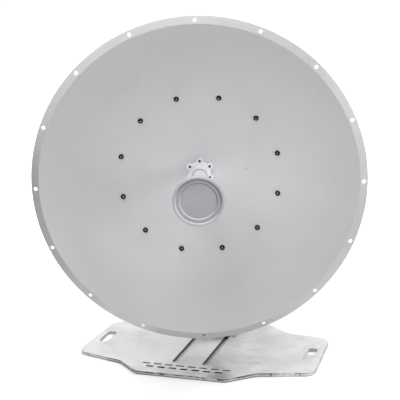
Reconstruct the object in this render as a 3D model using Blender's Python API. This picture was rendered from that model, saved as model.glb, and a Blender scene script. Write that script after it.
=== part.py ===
"""Microwave dish antenna on a cut-plate floor stand.

Metres, +Z up. The origin is the pole's axis on the base plate's underside, and
the dish faces -Y. Dish pieces are drawn in the dish's own frame, where +z leaves
the bowl along its axis and z = 0 is the plane of the lip holes.
"""

import math

import bmesh
import bpy
from mathutils import Matrix, Vector

GAP = 0.0003
SPIN_STEPS = 64

# Dish
DISH_CENTRE = Vector((0.0, -0.350, 0.6637))
DISH_TURN = math.radians(-4.11)
FOUR_F = 1.54
VERTEX_Z = -0.1585
SHEET = 0.002
FLAT_R = 0.055
CREASE_R = 0.500
HOLE_R = 0.512
RIM_R = 0.525
RIM_Z = -0.0045
LIP_HOLE_RADIUS = 0.0062
LIP_HOLES = 16
HUB_OPENING_R = 0.030
SEAT_RADII = (0.235, 0.260, 0.285)
RING_FLANGE_R = 0.212
RING_BACK_Z = -0.146
RING_SHEET = 0.003
HUB_PLATE_R = 0.120
HUB_PLATE_FRONT_Z = -0.185
HUB_PLATE_THICK = 0.006
HUB_BORE_R = 0.040
ARMS = 6
ARM_WIDTH = 0.034
ARM_THICK = 0.005

# Feed
FEED_FLANGE_R = 0.049
FEED_FLANGE_FRONT_Z = -0.1470
TUBE_R = 0.0230
TUBE_WALL = 0.0022
CAP_R = 0.0774
CAP_FRONT_Z = 0.1725
CAP_DEPTH = 0.024
CAP_STEP_RADII = (0.0695, 0.0560)
CAP_STEP_DEPTHS = (0.005, 0.010)
HOUSING_R = 0.036
HOUSING_BACK_Z = -0.214

# Tilt bracket and pole clamp
PIVOT = Vector((0.0, -0.105, 0.604))
SLOT_ARC_R = 0.075
TILT_LIMIT = math.radians(21.0)
BOLT_R = 0.0060
BOLT_HOLE_R = 0.0063
SLOT_HALF = 0.0070
AZ_CHEEK_OUT = 0.060
AZ_SHEET = 0.005
TILT_CHEEK_IN = 0.066
TILT_SHEET = 0.005
WEB_FRONT_Y = -0.050
WEB_LOW_Z = 0.502
WEB_HIGH_Z = 0.722
CLAMP_HEIGHTS = (0.530, 0.695)
ROD_R = 0.005
ROD_HOLE_R = 0.0055
U_BEND_R = 0.0440

# Pole and stand
POLE_R = 0.03805
POLE_WALL = 0.0032
POLE_TOP_Z = 0.850
PLATE = 0.0127
PLATE_YAW = math.radians(-21.55)
PLATE_CENTRE = 0.148
SLIT_X = 0.0555
SLIT_HALF = 0.0077
SLIT_FRONT = -0.131
GUSSET_FRONT = 0.069
GUSSET_REAR = 0.198
SHOULDER = 0.012
GUSSET_HIGH_Z = 0.300
COLLAR_HEIGHTS = (0.110, 0.280)
COLLAR_THICK = 0.008

OUTLINE = (
    (-0.163, -0.216, 0.024),
    (0.163, -0.216, 0.024),
    (0.251, -0.155, 0.045),
    (0.436, -0.115, 0.032),
    (0.417, 0.137, 0.032),
    (0.262, 0.155, 0.045),
    (0.163, 0.216, 0.024),
    (-0.163, 0.216, 0.024),
    (-0.262, 0.155, 0.045),
    (-0.417, 0.137, 0.032),
    (-0.436, -0.115, 0.032),
    (-0.251, -0.155, 0.045),
)
HAND_SLOT = (0.384, 0.013, 0.018, 0.042)
VENT_SLOTS = 7
VENT_PITCH = 0.042
VENT_Y = -0.176

TO_DISH = (
    Matrix.Translation(DISH_CENTRE)
    @ Matrix.Rotation(math.pi / 2, 4, "X")
    @ Matrix.Rotation(DISH_TURN, 4, "Z")
)
TO_PLATE = Matrix.Rotation(PLATE_YAW, 4, "Z") @ Matrix.Translation((0, -PLATE_CENTRE, 0))
TO_STAND = Matrix.Rotation(PLATE_YAW, 4, "Z")


def clear_scene():
    for old in list(bpy.data.objects):
        bpy.data.objects.remove(old, do_unlink=True)


def collection(name):
    made = bpy.data.collections.new(name)
    bpy.context.scene.collection.children.link(made)
    return made


def material(name, colour, metallic, roughness):
    made = bpy.data.materials.new(name)
    made.use_nodes = True
    shader = made.node_tree.nodes["Principled BSDF"]
    shader.inputs["Base Color"].default_value = (*colour, 1)
    shader.inputs["Metallic"].default_value = metallic
    shader.inputs["Roughness"].default_value = roughness
    return made


def add(name, mesh_data, look, where=None, placed=None):
    made = bpy.data.objects.new(name, mesh_data)
    (where or PARTS).objects.link(made)
    if look:
        made.data.materials.append(look)
    if placed is not None:
        made.matrix_world = placed
    return made


def cutter(name, mesh_data, placed=None):
    made = add(name, mesh_data, None, CUTTERS, placed)
    made.hide_render = True
    made.display_type = "WIRE"
    return made


def cut(target, tool):
    step = target.modifiers.new("cut_" + tool.name, "BOOLEAN")
    step.operation = "DIFFERENCE"
    step.solver = "EXACT"
    step.object = tool


def mesh_from(name, shape):
    bmesh.ops.recalc_face_normals(shape, faces=shape.faces[:])
    made = bpy.data.meshes.new(name)
    shape.to_mesh(made)
    shape.free()
    return made


def prism(name, outline, low, high, axis="Z"):
    """A closed prism of a 2-D outline, from low to high along the axis."""
    shape = bmesh.new()
    order = {
        "Z": lambda u, v, w: (u, v, w),
        "X": lambda u, v, w: (w, u, v),
        "Y": lambda u, v, w: (u, w, v),
    }[axis]
    corners = [shape.verts.new(order(u, v, low)) for u, v in outline]
    face = shape.faces.new(corners)
    moved = bmesh.ops.extrude_face_region(shape, geom=[face])
    ends = [item for item in moved["geom"] if isinstance(item, bmesh.types.BMVert)]
    bmesh.ops.translate(shape, verts=ends, vec=order(0, 0, high - low))
    return mesh_from(name, shape)


def cylinder(name, radius, low, high, axis="Z", centre=(0, 0), steps=24):
    outline = []
    for k in range(steps):
        turn = 2 * math.pi * (k + 0.5) / steps
        outline.append((centre[0] + radius * math.cos(turn), centre[1] + radius * math.sin(turn)))
    return prism(name, outline, low, high, axis)


def filleted(corners, steps=5):
    """The outline of (x, y, radius) corners, each rounded to its radius."""
    outline = []
    count = len(corners)
    for k, (x, y, radius) in enumerate(corners):
        here = Vector((x, y))
        before = (Vector(corners[k - 1][:2]) - here).normalized()
        after = (Vector(corners[(k + 1) % count][:2]) - here).normalized()
        half = before.angle(after) / 2
        if radius <= 0 or half > math.radians(89):
            outline.append(here)
            continue
        middle = here + (before + after).normalized() * radius / math.sin(half)
        start = here + before * radius / math.tan(half) - middle
        sweep = start.angle_signed(here + after * radius / math.tan(half) - middle)
        for j in range(steps + 1):
            spot = start.copy()
            spot.rotate(Matrix.Rotation(-sweep * j / steps, 2))
            outline.append(middle + spot)
    return [(spot.x, spot.y) for spot in outline]


def spun(name, profile, look, placed, steps=SPIN_STEPS):
    """A ring or disc from a closed (radius, z) profile, about its own z axis."""
    shape = bmesh.new()
    points = [shape.verts.new((radius, 0, z)) for radius, z in profile]
    edges = [shape.edges.new((points[k - 1], points[k])) for k in range(len(points))]
    bmesh.ops.spin(
        shape,
        geom=points + edges,
        cent=(0, 0, 0),
        axis=(0, 0, 1),
        angle=2 * math.pi,
        steps=steps,
        use_merge=True,
    )
    bmesh.ops.remove_doubles(shape, verts=shape.verts[:], dist=1e-6)
    flat = [face for face in shape.faces if face.calc_area() < 1e-12]
    bmesh.ops.delete(shape, geom=flat, context="FACES")
    return add(name, mesh_from(name, shape), look, placed=placed)


def solid_disc(name, profile, look, placed, steps=SPIN_STEPS):
    """A solid of revolution from an open (radius, z) profile, capped at both ends."""
    shape = bmesh.new()
    points = [shape.verts.new((radius, 0, z)) for radius, z in profile]
    edges = [shape.edges.new((points[k], points[k + 1])) for k in range(len(points) - 1)]
    bmesh.ops.spin(
        shape,
        geom=points + edges,
        cent=(0, 0, 0),
        axis=(0, 0, 1),
        angle=2 * math.pi,
        steps=steps,
        use_merge=True,
    )
    bmesh.ops.remove_doubles(shape, verts=shape.verts[:], dist=1e-6)
    rims = [edge for edge in shape.edges if edge.is_boundary]
    bmesh.ops.edgeloop_fill(shape, edges=rims)
    return add(name, mesh_from(name, shape), look, placed=placed)


def bowl_z(radius):
    """Front surface of the reflector."""
    return VERTEX_Z + max(radius, FLAT_R) ** 2 / FOUR_F


def make_reflector(look):
    radii = (HUB_OPENING_R, FLAT_R, 0.12, 0.18, *SEAT_RADII, 0.34, 0.40, 0.45, CREASE_R)
    front = [(radius, bowl_z(radius)) for radius in radii]
    front.append((RIM_R, RIM_Z))
    back = [(radius, z - SHEET) for radius, z in reversed(front)]
    reflector = spun("reflector", front + back, look, TO_DISH)
    shape = bmesh.new()
    for k in range(LIP_HOLES):
        turn = math.radians(90 + 360 / LIP_HOLES * k)
        spot = Vector((HOLE_R * math.cos(turn), HOLE_R * math.sin(turn), 0))
        bmesh.ops.create_cone(
            shape,
            cap_ends=True,
            segments=10,
            radius1=LIP_HOLE_RADIUS,
            radius2=LIP_HOLE_RADIUS,
            depth=0.03,
            matrix=Matrix.Translation(spot),
        )
    cut(reflector, cutter("lip_hole_cutter", mesh_from("lip_hole_cutter", shape), TO_DISH))


def make_back_ring(look):
    inner, middle, outer = SEAT_RADII
    seat = [(radius, bowl_z(radius) - SHEET - GAP) for radius in SEAT_RADII]
    wall = inner + 0.0035
    drop = (seat[1][1] - seat[0][1]) / (middle - inner)
    profile = [
        *seat,
        (outer, seat[2][1] - RING_SHEET),
        (middle, seat[1][1] - RING_SHEET),
        (wall, seat[0][1] + drop * (wall - inner) - RING_SHEET),
        (wall, RING_BACK_Z),
        (RING_FLANGE_R, RING_BACK_Z),
        (RING_FLANGE_R, RING_BACK_Z + RING_SHEET),
        (inner, RING_BACK_Z + RING_SHEET),
    ]
    spun("back_ring", profile, look, TO_DISH)


def make_arm(number, look):
    """A flat bar that steps from the hub plate forward to the ring's rear flange."""
    foot = HUB_PLATE_FRONT_Z + GAP
    pad = RING_BACK_Z - GAP
    outline = [
        (0.062, foot),
        (0.118, foot),
        (0.206, pad - ARM_THICK),
        (0.236, pad - ARM_THICK),
        (0.236, pad),
        (0.204, pad),
        (0.116, foot + ARM_THICK),
        (0.062, foot + ARM_THICK),
    ]
    data = prism(f"arm_{number}", outline, -ARM_WIDTH / 2, ARM_WIDTH / 2, axis="Y")
    turn = Matrix.Rotation(math.radians(60 * (number - 1) + 30), 4, "Z")
    add(f"arm_{number}", data, look, placed=TO_DISH @ turn)


def make_hub_plate(look):
    back = HUB_PLATE_FRONT_Z - HUB_PLATE_THICK
    profile = [
        (HUB_BORE_R, HUB_PLATE_FRONT_Z),
        (HUB_PLATE_R, HUB_PLATE_FRONT_Z),
        (HUB_PLATE_R, back),
        (HUB_BORE_R, back),
    ]
    spun("hub_plate", profile, look, TO_DISH, steps=48)


def make_feed(white, grey):
    seat = bowl_z(0) + GAP
    flange = [
        (TUBE_R + GAP, seat),
        (FEED_FLANGE_R, seat),
        (FEED_FLANGE_R, FEED_FLANGE_FRONT_Z - 0.002),
        (FEED_FLANGE_R - 0.002, FEED_FLANGE_FRONT_Z),
        (TUBE_R + GAP, FEED_FLANGE_FRONT_Z),
    ]
    spun("feed_flange", flange, white, TO_DISH, steps=48)
    rear = bowl_z(0) - SHEET - GAP
    tube_end = CAP_FRONT_Z - CAP_DEPTH - GAP
    tube = [
        (TUBE_R - TUBE_WALL, rear),
        (TUBE_R, rear),
        (TUBE_R, tube_end),
        (TUBE_R - TUBE_WALL, tube_end),
    ]
    spun("feed_tube", tube, white, TO_DISH, steps=24)
    back = CAP_FRONT_Z - CAP_DEPTH
    first, second = CAP_STEP_RADII
    cap = [
        (CAP_R - 0.003, back),
        (CAP_R, back + 0.003),
        (CAP_R, CAP_FRONT_Z - 0.0015),
        (CAP_R - 0.0015, CAP_FRONT_Z),
        (first + 0.0006, CAP_FRONT_Z),
        (first, CAP_FRONT_Z - CAP_STEP_DEPTHS[0]),
        (second + 0.0006, CAP_FRONT_Z - CAP_STEP_DEPTHS[0]),
        (second, CAP_FRONT_Z - CAP_STEP_DEPTHS[1]),
    ]
    solid_disc("feed_cap", cap, grey, TO_DISH, steps=40)


def make_feed_rear(housing_look, metal):
    front = bowl_z(0) - SHEET - 2 * GAP
    housing = [
        (HOUSING_R, front),
        (HOUSING_R, HOUSING_BACK_Z + 0.003),
        (HOUSING_R - 0.003, HOUSING_BACK_Z),
    ]
    solid_disc("feed_rear_housing", housing, housing_look, TO_DISH, steps=32)
    for number, side in (("1", -1), ("2", 1)):
        place = TO_DISH @ Matrix.Translation((0.016 * side, 0, 0))
        profile = [
            (0.0085, HOUSING_BACK_Z - GAP),
            (0.0085, HOUSING_BACK_Z - 0.004),
            (0.0060, HOUSING_BACK_Z - 0.004),
            (0.0060, HOUSING_BACK_Z - 0.014),
        ]
        solid_disc("rf_connector_" + number, profile, metal, place, steps=16)


def make_tilt_cheek(name, side, look):
    """An L bracket: a flange on the hub plate and a cheek with the curved lock slot."""
    py, pz = PIVOT.y, PIVOT.z
    hub_back = DISH_CENTRE.y - (HUB_PLATE_FRONT_Z - HUB_PLATE_THICK) + GAP
    front = hub_back + TILT_SHEET
    outline = filleted(
        [
            (front - 0.001, pz - 0.030, 0),
            (py, pz - 0.026, 0.02),
            (py + 0.026, pz, 0.02),
            (py + 0.046, pz + 0.062, 0.014),
            (py + 0.030, pz + 0.104, 0.014),
            (front - 0.001, pz + 0.112, 0),
        ]
    )
    low = side * TILT_CHEEK_IN
    high = side * (TILT_CHEEK_IN + TILT_SHEET)
    data = prism(name, outline, min(low, high), max(low, high), axis="X")
    cheek = add(name, data, look)
    flange_low = side * TILT_CHEEK_IN
    flange_high = side * (TILT_CHEEK_IN + 0.036)
    flange = prism(
        name + "_flange",
        [
            (min(flange_low, flange_high), pz - 0.012),
            (max(flange_low, flange_high), pz - 0.012),
            (max(flange_low, flange_high), pz + 0.112),
            (min(flange_low, flange_high), pz + 0.112),
        ],
        hub_back,
        front,
        axis="Y",
    )
    tool = cutter(name + "_flange", flange)
    join = cheek.modifiers.new("join_flange", "BOOLEAN")
    join.operation = "UNION"
    join.solver = "EXACT"
    join.object = tool
    span = (min(low, high) - 0.01, max(low, high) + 0.01)
    hole = cylinder(name + "_pivot_hole", BOLT_HOLE_R, *span, axis="X", centre=(py, pz))
    cut(cheek, cutter(name + "_pivot_hole", hole))
    arc = []
    for k in range(13):
        turn = math.pi / 2 - TILT_LIMIT + 2 * TILT_LIMIT * k / 12
        reach = SLOT_ARC_R + SLOT_HALF
        arc.append((py + reach * math.cos(turn), pz + reach * math.sin(turn)))
    left = math.pi / 2 + TILT_LIMIT
    for k in range(1, 6):
        spin = left + math.pi * k / 6
        arc.append(
            (
                py + SLOT_ARC_R * math.cos(left) + SLOT_HALF * math.cos(spin),
                pz + SLOT_ARC_R * math.sin(left) + SLOT_HALF * math.sin(spin),
            )
        )
    for k in range(13):
        turn = math.pi / 2 + TILT_LIMIT - 2 * TILT_LIMIT * k / 12
        reach = SLOT_ARC_R - SLOT_HALF
        arc.append((py + reach * math.cos(turn), pz + reach * math.sin(turn)))
    right = math.pi / 2 - TILT_LIMIT
    for k in range(1, 6):
        spin = right + math.pi + math.pi * k / 6
        arc.append(
            (
                py + SLOT_ARC_R * math.cos(right) + SLOT_HALF * math.cos(spin),
                pz + SLOT_ARC_R * math.sin(right) + SLOT_HALF * math.sin(spin),
            )
        )
    cut(cheek, cutter(name + "_slot", prism(name + "_slot", arc, *span, axis="X")))


def make_bolt(name, side, spot, look):
    """A bolt with its head outside, a spacer between the cheeks and its nut inside."""
    cheek_in = AZ_CHEEK_OUT - AZ_SHEET
    tilt_out = TILT_CHEEK_IN + TILT_SHEET
    profile = [
        (BOLT_R, cheek_in - 0.011),
        (BOLT_R, cheek_in - 0.009),
        (0.0105, cheek_in - 0.009),
        (0.0105, cheek_in - GAP),
        (BOLT_R, cheek_in - GAP),
        (BOLT_R, AZ_CHEEK_OUT + GAP),
        (0.0115, AZ_CHEEK_OUT + GAP),
        (0.0115, TILT_CHEEK_IN - GAP),
        (BOLT_R, TILT_CHEEK_IN - GAP),
        (BOLT_R, tilt_out + GAP),
        (0.0125, tilt_out + GAP),
        (0.0125, tilt_out + 0.0025),
        (0.0105, tilt_out + 0.0025),
        (0.0105, tilt_out + 0.0095),
    ]
    turn = Matrix.Rotation(math.radians(90 * side), 4, "Y")
    solid_disc(name, profile, look, Matrix.Translation(spot) @ turn, steps=12)


def make_az_channel(look):
    """A folded channel: a web against the clamp saddles and two cheeks to the pivot."""
    py, pz = PIVOT.y, PIVOT.z
    back = WEB_FRONT_Y + AZ_SHEET
    inside = AZ_CHEEK_OUT - AZ_SHEET
    round_end = [
        (py + 0.040 * math.cos(turn), pz + 0.040 * math.sin(turn))
        for turn in (math.radians(150 + 15 * k) for k in range(9))
    ]
    side_view = [
        *round_end,
        (WEB_FRONT_Y - 0.012, WEB_LOW_Z + 0.03),
        (WEB_FRONT_Y - 0.006, WEB_LOW_Z),
        (back, WEB_LOW_Z),
        (back, WEB_HIGH_Z),
        (WEB_FRONT_Y - 0.006, WEB_HIGH_Z),
        (py + 0.012, pz + 0.093),
        (py - 0.012, pz + 0.090),
        (py - 0.020, pz + 0.072),
    ]
    data = prism("az_channel", side_view, -AZ_CHEEK_OUT, AZ_CHEEK_OUT, axis="X")
    channel = add("az_channel", data, look)
    hollow = [
        (-inside, -0.30),
        (inside, -0.30),
        (inside, WEB_FRONT_Y),
        (-inside, WEB_FRONT_Y),
    ]
    cut(channel, cutter("channel_hollow", prism("channel_hollow", hollow, 0.40, 0.90)))
    for name, height in (("pivot", pz), ("lock", pz + SLOT_ARC_R)):
        hole = cylinder("channel_" + name, BOLT_HOLE_R, -0.08, 0.08, axis="X", centre=(py, height))
        cut(channel, cutter("channel_" + name, hole))
    for number, height in enumerate(CLAMP_HEIGHTS):
        for side in (-1, 1):
            name = f"channel_leg_{number}_{side + 1}"
            hole = cylinder(name, ROD_HOLE_R, -0.09, -0.02, axis="Y", centre=(side * U_BEND_R, height))
            cut(channel, cutter(name, hole))


def make_clamp(word, height, steel, cast):
    rod = bpy.data.curves.new("rod", "CURVE")
    rod.dimensions = "3D"
    rod.bevel_depth = ROD_R
    rod.bevel_resolution = 1
    rod.use_fill_caps = True
    line = rod.splines.new("POLY")
    path = [(-U_BEND_R, WEB_FRONT_Y - 0.022, height)]
    for k in range(17):
        turn = math.pi - math.pi * k / 16
        path.append((U_BEND_R * math.cos(turn), U_BEND_R * math.sin(turn), height))
    path.append((U_BEND_R, WEB_FRONT_Y - 0.022, height))
    line.points.add(len(path) - 1)
    for point, spot in zip(line.points, path):
        point.co = (*spot, 1)
    source = bpy.data.objects.new("rod", rod)
    CUTTERS.objects.link(source)
    graph = bpy.context.evaluated_depsgraph_get()
    data = bpy.data.meshes.new_from_object(source.evaluated_get(graph))
    shape = bmesh.new()
    shape.from_mesh(data)
    bmesh.ops.remove_doubles(shape, verts=shape.verts[:], dist=1e-6)
    add("u_bolt_" + word, mesh_from("u_bolt_" + word, shape), steel)
    bpy.data.objects.remove(source, do_unlink=True)
    front = WEB_FRONT_Y + AZ_SHEET + GAP
    block = [(-0.056, front), (0.056, front), (0.056, -0.028), (0.030, -0.016), (-0.030, -0.016), (-0.056, -0.028)]
    saddle = add("clamp_saddle_" + word, prism("saddle", block, height - 0.016, height + 0.016), cast)
    hollow = cylinder("saddle_bore_" + word, POLE_R + 0.0006, height - 0.03, height + 0.03, steps=36)
    cut(saddle, cutter("saddle_bore_" + word, hollow))
    for side in (-1, 1):
        name = f"saddle_leg_{word}_{side + 1}"
        hole = cylinder(name, ROD_HOLE_R, -0.09, 0.02, axis="Y", centre=(side * U_BEND_R, height))
        cut(saddle, cutter(name, hole))


def make_pole(look, plastic):
    low = PLATE + GAP
    wall = [
        (POLE_R - POLE_WALL, low),
        (POLE_R, low),
        (POLE_R, POLE_TOP_Z),
        (POLE_R - POLE_WALL, POLE_TOP_Z),
    ]
    spun("pole", wall, look, Matrix.Identity(4), steps=36)
    inner = POLE_R - POLE_WALL - GAP
    cap = [
        (inner - 0.0002, POLE_TOP_Z - 0.018),
        (inner - 0.0002, POLE_TOP_Z + GAP),
        (POLE_R, POLE_TOP_Z + GAP),
        (POLE_R, POLE_TOP_Z + 0.004),
        (POLE_R - 0.004, POLE_TOP_Z + 0.007),
    ]
    solid_disc("pole_cap", cap, plastic, Matrix.Identity(4), steps=36)


def make_collar(word, height, look):
    inside = SLIT_X - PLATE / 2 - GAP
    outline = filleted(
        [
            (-inside, -0.052, 0),
            (inside, -0.052, 0),
            (inside, 0.048, 0),
            (-inside, 0.048, 0),
        ]
    )
    name = "pole_collar_" + word
    collar = add(name, prism(name, outline, height, height + COLLAR_THICK), look, placed=TO_STAND)
    bore = cylinder(name + "_bore", POLE_R + GAP + 0.0002, height - 0.02, height + 0.03, steps=36)
    cut(collar, cutter(name + "_bore", bore, TO_STAND))


def make_gusset(word, side, look):
    """An upright plate: its tab fills the rear of the slit, its shoulder sits on the plate."""
    rear = GUSSET_REAR
    outline = filleted(
        [
            (GUSSET_FRONT, 0.0, 0),
            (rear, 0.0, 0),
            (rear, PLATE + GAP, 0),
            (rear + SHOULDER, PLATE + GAP, 0),
            (rear + SHOULDER, 0.10, 0.02),
            (rear - 0.002, GUSSET_HIGH_Z, 0.012),
            (PLATE_CENTRE - 0.054, GUSSET_HIGH_Z, 0.012),
            (GUSSET_FRONT, 0.12, 0.03),
        ],
        steps=3,
    )
    low = side * SLIT_X - PLATE / 2
    data = prism("gusset_" + word, outline, low, low + PLATE, axis="X")
    add("gusset_" + word, data, look, placed=TO_PLATE)


def make_base_plate(look):
    plate = add("base_plate", prism("base_plate", filleted(OUTLINE), 0, PLATE), look, placed=TO_PLATE)
    x, y, half_x, half_y = HAND_SLOT
    tools = []
    for side in (-1, 1):
        corners = [
            (side * x - half_x, y - half_y, 0.012),
            (side * x + half_x, y - half_y, 0.012),
            (side * x + half_x, y + half_y, 0.012),
            (side * x - half_x, y + half_y, 0.012),
        ]
        tools.append(("hand_slot", filleted(corners)))
        slit = side * SLIT_X
        corners = [
            (slit - SLIT_HALF, SLIT_FRONT, 0.003),
            (slit + SLIT_HALF, SLIT_FRONT, 0.003),
            (slit + SLIT_HALF, GUSSET_REAR + GAP, 0),
            (slit - SLIT_HALF, GUSSET_REAR + GAP, 0),
        ]
        tools.append(("slit", filleted(corners, steps=3)))
    for k in range(VENT_SLOTS):
        middle = (k - (VENT_SLOTS - 1) / 2) * VENT_PITCH
        corners = [
            (middle - 0.0145, VENT_Y - 0.005, 0.0046),
            (middle + 0.0145, VENT_Y - 0.005, 0.0046),
            (middle + 0.0145, VENT_Y + 0.005, 0.0046),
            (middle - 0.0145, VENT_Y + 0.005, 0.0046),
        ]
        tools.append(("vent", filleted(corners, steps=3)))
    for k, (word, outline) in enumerate(tools):
        name = f"plate_{word}_{k}"
        cut(plate, cutter(name, prism(name, outline, -0.02, 0.04), TO_PLATE))


def main():
    plate_steel = material("plate_steel", (0.62, 0.63, 0.63), 0.6, 0.55)
    black_coat = material("black_coat", (0.03, 0.03, 0.032), 0.0, 0.45)
    galvanised = material("galvanised", (0.55, 0.57, 0.58), 0.8, 0.45)
    coat = material("reflector_coat", (0.62, 0.64, 0.67), 0.1, 0.5)
    cap_plastic = material("feed_plastic", (0.45, 0.46, 0.50), 0.0, 0.5)
    hub_plastic = material("hub_plastic", (0.85, 0.86, 0.88), 0.0, 0.4)
    dark = material("dark_plastic", (0.06, 0.06, 0.065), 0.0, 0.5)
    bolt_steel = material("bolt_steel", (0.50, 0.51, 0.53), 0.9, 0.35)
    cast = material("cast_aluminium", (0.60, 0.61, 0.62), 0.7, 0.5)
    brass = material("connector_brass", (0.72, 0.60, 0.32), 0.9, 0.35)

    make_base_plate(plate_steel)
    make_gusset("left", -1, black_coat)
    make_gusset("right", 1, black_coat)
    make_collar("lower", COLLAR_HEIGHTS[0], black_coat)
    make_collar("upper", COLLAR_HEIGHTS[1], black_coat)
    make_pole(galvanised, dark)
    make_az_channel(galvanised)
    make_clamp("lower", CLAMP_HEIGHTS[0], bolt_steel, cast)
    make_clamp("upper", CLAMP_HEIGHTS[1], bolt_steel, cast)
    lock = PIVOT + Vector((0, 0, SLOT_ARC_R))
    for word, side in (("left", -1), ("right", 1)):
        make_tilt_cheek("tilt_cheek_" + word, side, galvanised)
        make_bolt("pivot_bolt_" + word, side, PIVOT, bolt_steel)
        make_bolt("lock_bolt_" + word, side, lock, bolt_steel)
    make_hub_plate(galvanised)
    for number in range(1, ARMS + 1):
        make_arm(number, galvanised)
    make_back_ring(galvanised)
    make_reflector(coat)
    make_feed(hub_plastic, cap_plastic)
    make_feed_rear(dark, brass)


clear_scene()
PARTS = collection("parts")
CUTTERS = collection("cutters")
main()
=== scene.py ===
"""Looks of a microwave dish antenna that stands on a cut-steel floor plate.

Metres, +Z up, and the dish faces -Y. The pole's axis stands on the origin. Dish pieces are drawn
in the dish's own frame, where +z leaves the bowl along its axis and z = 0 is the plane of the lip
holes, and are then placed with TO_DISH. Plate pieces are drawn about the plate's middle, on z = 0.
GAP is left between pieces that touch, and POLE is the pole's radius.
"""

import logging
import math
from collections.abc import Callable, Iterable, Sequence
from dataclasses import dataclass
from enum import Enum

import bmesh
import bpy
from mathutils import Matrix, Vector, noise


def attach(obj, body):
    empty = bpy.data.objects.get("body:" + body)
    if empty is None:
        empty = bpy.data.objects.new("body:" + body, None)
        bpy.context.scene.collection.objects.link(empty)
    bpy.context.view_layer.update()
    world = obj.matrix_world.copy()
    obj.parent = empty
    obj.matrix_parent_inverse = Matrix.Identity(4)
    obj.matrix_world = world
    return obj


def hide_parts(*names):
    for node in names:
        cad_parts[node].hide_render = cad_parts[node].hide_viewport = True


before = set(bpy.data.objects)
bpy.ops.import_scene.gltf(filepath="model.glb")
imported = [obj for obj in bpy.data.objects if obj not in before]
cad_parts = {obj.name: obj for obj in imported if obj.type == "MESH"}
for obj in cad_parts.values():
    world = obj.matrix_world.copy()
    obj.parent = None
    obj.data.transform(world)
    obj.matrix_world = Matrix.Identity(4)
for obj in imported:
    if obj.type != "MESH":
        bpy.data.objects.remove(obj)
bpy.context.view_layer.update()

logging.basicConfig(level=logging.INFO, format="%(message)s")
LOG = logging.getLogger("dish_antenna")

GAP = 0.0003
PLATE_THICKNESS = 0.0127
PLATE_CENTRE = 0.148
PLATE_YAW = math.radians(-21.55)
POLE = 0.03805
DISH_CENTRE = Vector((0.0, -0.350, 0.6637))
DISH_TURN = math.radians(-4.11)
PIVOT = Vector((0.0, -0.105, 0.604))

TO_DISH = (
    Matrix.Translation(DISH_CENTRE)
    @ Matrix.Rotation(math.pi / 2, 4, "X")
    @ Matrix.Rotation(DISH_TURN, 4, "Z")
)
TO_STAND = Matrix.Rotation(PLATE_YAW, 4, "Z")
TO_PLATE = TO_STAND @ Matrix.Translation((0, -PLATE_CENTRE, 0))
ALONG_X = Matrix(((0, 0, 1, 0), (1, 0, 0, 0), (0, 1, 0, 0), (0, 0, 0, 1)))
ALONG_Y = Matrix(((1, 0, 0, 0), (0, 0, -1, 0), (0, 1, 0, 0), (0, 0, 0, 1)))

Colour = tuple[float, float, float]
Corner = tuple[float, float, float]
Outline = Sequence[Corner]
Profile = Sequence[tuple[float, float]]
Face = bmesh.types.BMFace
Node = bpy.types.Node
Socket = bpy.types.NodeSocket
Material = bpy.types.Material


class Body(Enum):
    """The rigid bodies that pieces ride on."""

    STAND = "stand"
    AZIMUTH = "azimuth_bracket"
    DISH = "dish"


class Side(Enum):
    """The two sides of the antenna, as the sign of x."""

    LEFT = -1
    RIGHT = 1

    @property
    def word(self) -> str:
        """The side's name in a piece's name."""
        return self.name.lower()


def maths(operation: str, swapped: bool = False) -> Callable[..., "Signal"]:
    """Make a Signal method that adds one Math node.

    Args:
        operation: the Math node's operation.
        swapped: whether the other value comes before this one.

    Returns:
        The method.
    """

    def method(self: "Signal", *others: "Signal | float") -> "Signal":
        """Add the node and return its result.

        Args:
            others: the node's other values, if it has any.

        Returns:
            The node's result.
        """
        values = (*others, self) if swapped else (self, *others)
        made = self.graph.node("ShaderNodeMath", {"operation": operation}, dict(enumerate(values)))
        return Signal(self.graph, made.outputs[0])

    return method


class Signal:
    """A shader socket that arithmetic can be written on."""

    __add__ = __radd__ = maths("ADD")
    __sub__ = maths("SUBTRACT")
    __rsub__ = maths("SUBTRACT", swapped=True)
    __mul__ = __rmul__ = maths("MULTIPLY")
    __truediv__ = maths("DIVIDE")
    __pow__ = maths("POWER")
    smaller = maths("MINIMUM")
    sine = maths("SINE")

    def __init__(self, graph: "Graph", socket: Socket) -> None:
        """Keep the socket and the graph that it belongs to."""
        self.graph = graph
        self.socket = socket

    def rise(self, low: float, high: float) -> "Signal":
        """A smooth step.

        Args:
            low: the value where the step is 0.
            high: the value where it reaches 1. It may be below low.

        Returns:
            The step, from 0 to 1.
        """
        inputs = {"Value": self, "From Min": low, "From Max": high}
        made = self.graph.node("ShaderNodeMapRange", {"interpolation_type": "SMOOTHSTEP"}, inputs)
        return Signal(self.graph, made.outputs["Result"])


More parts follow.
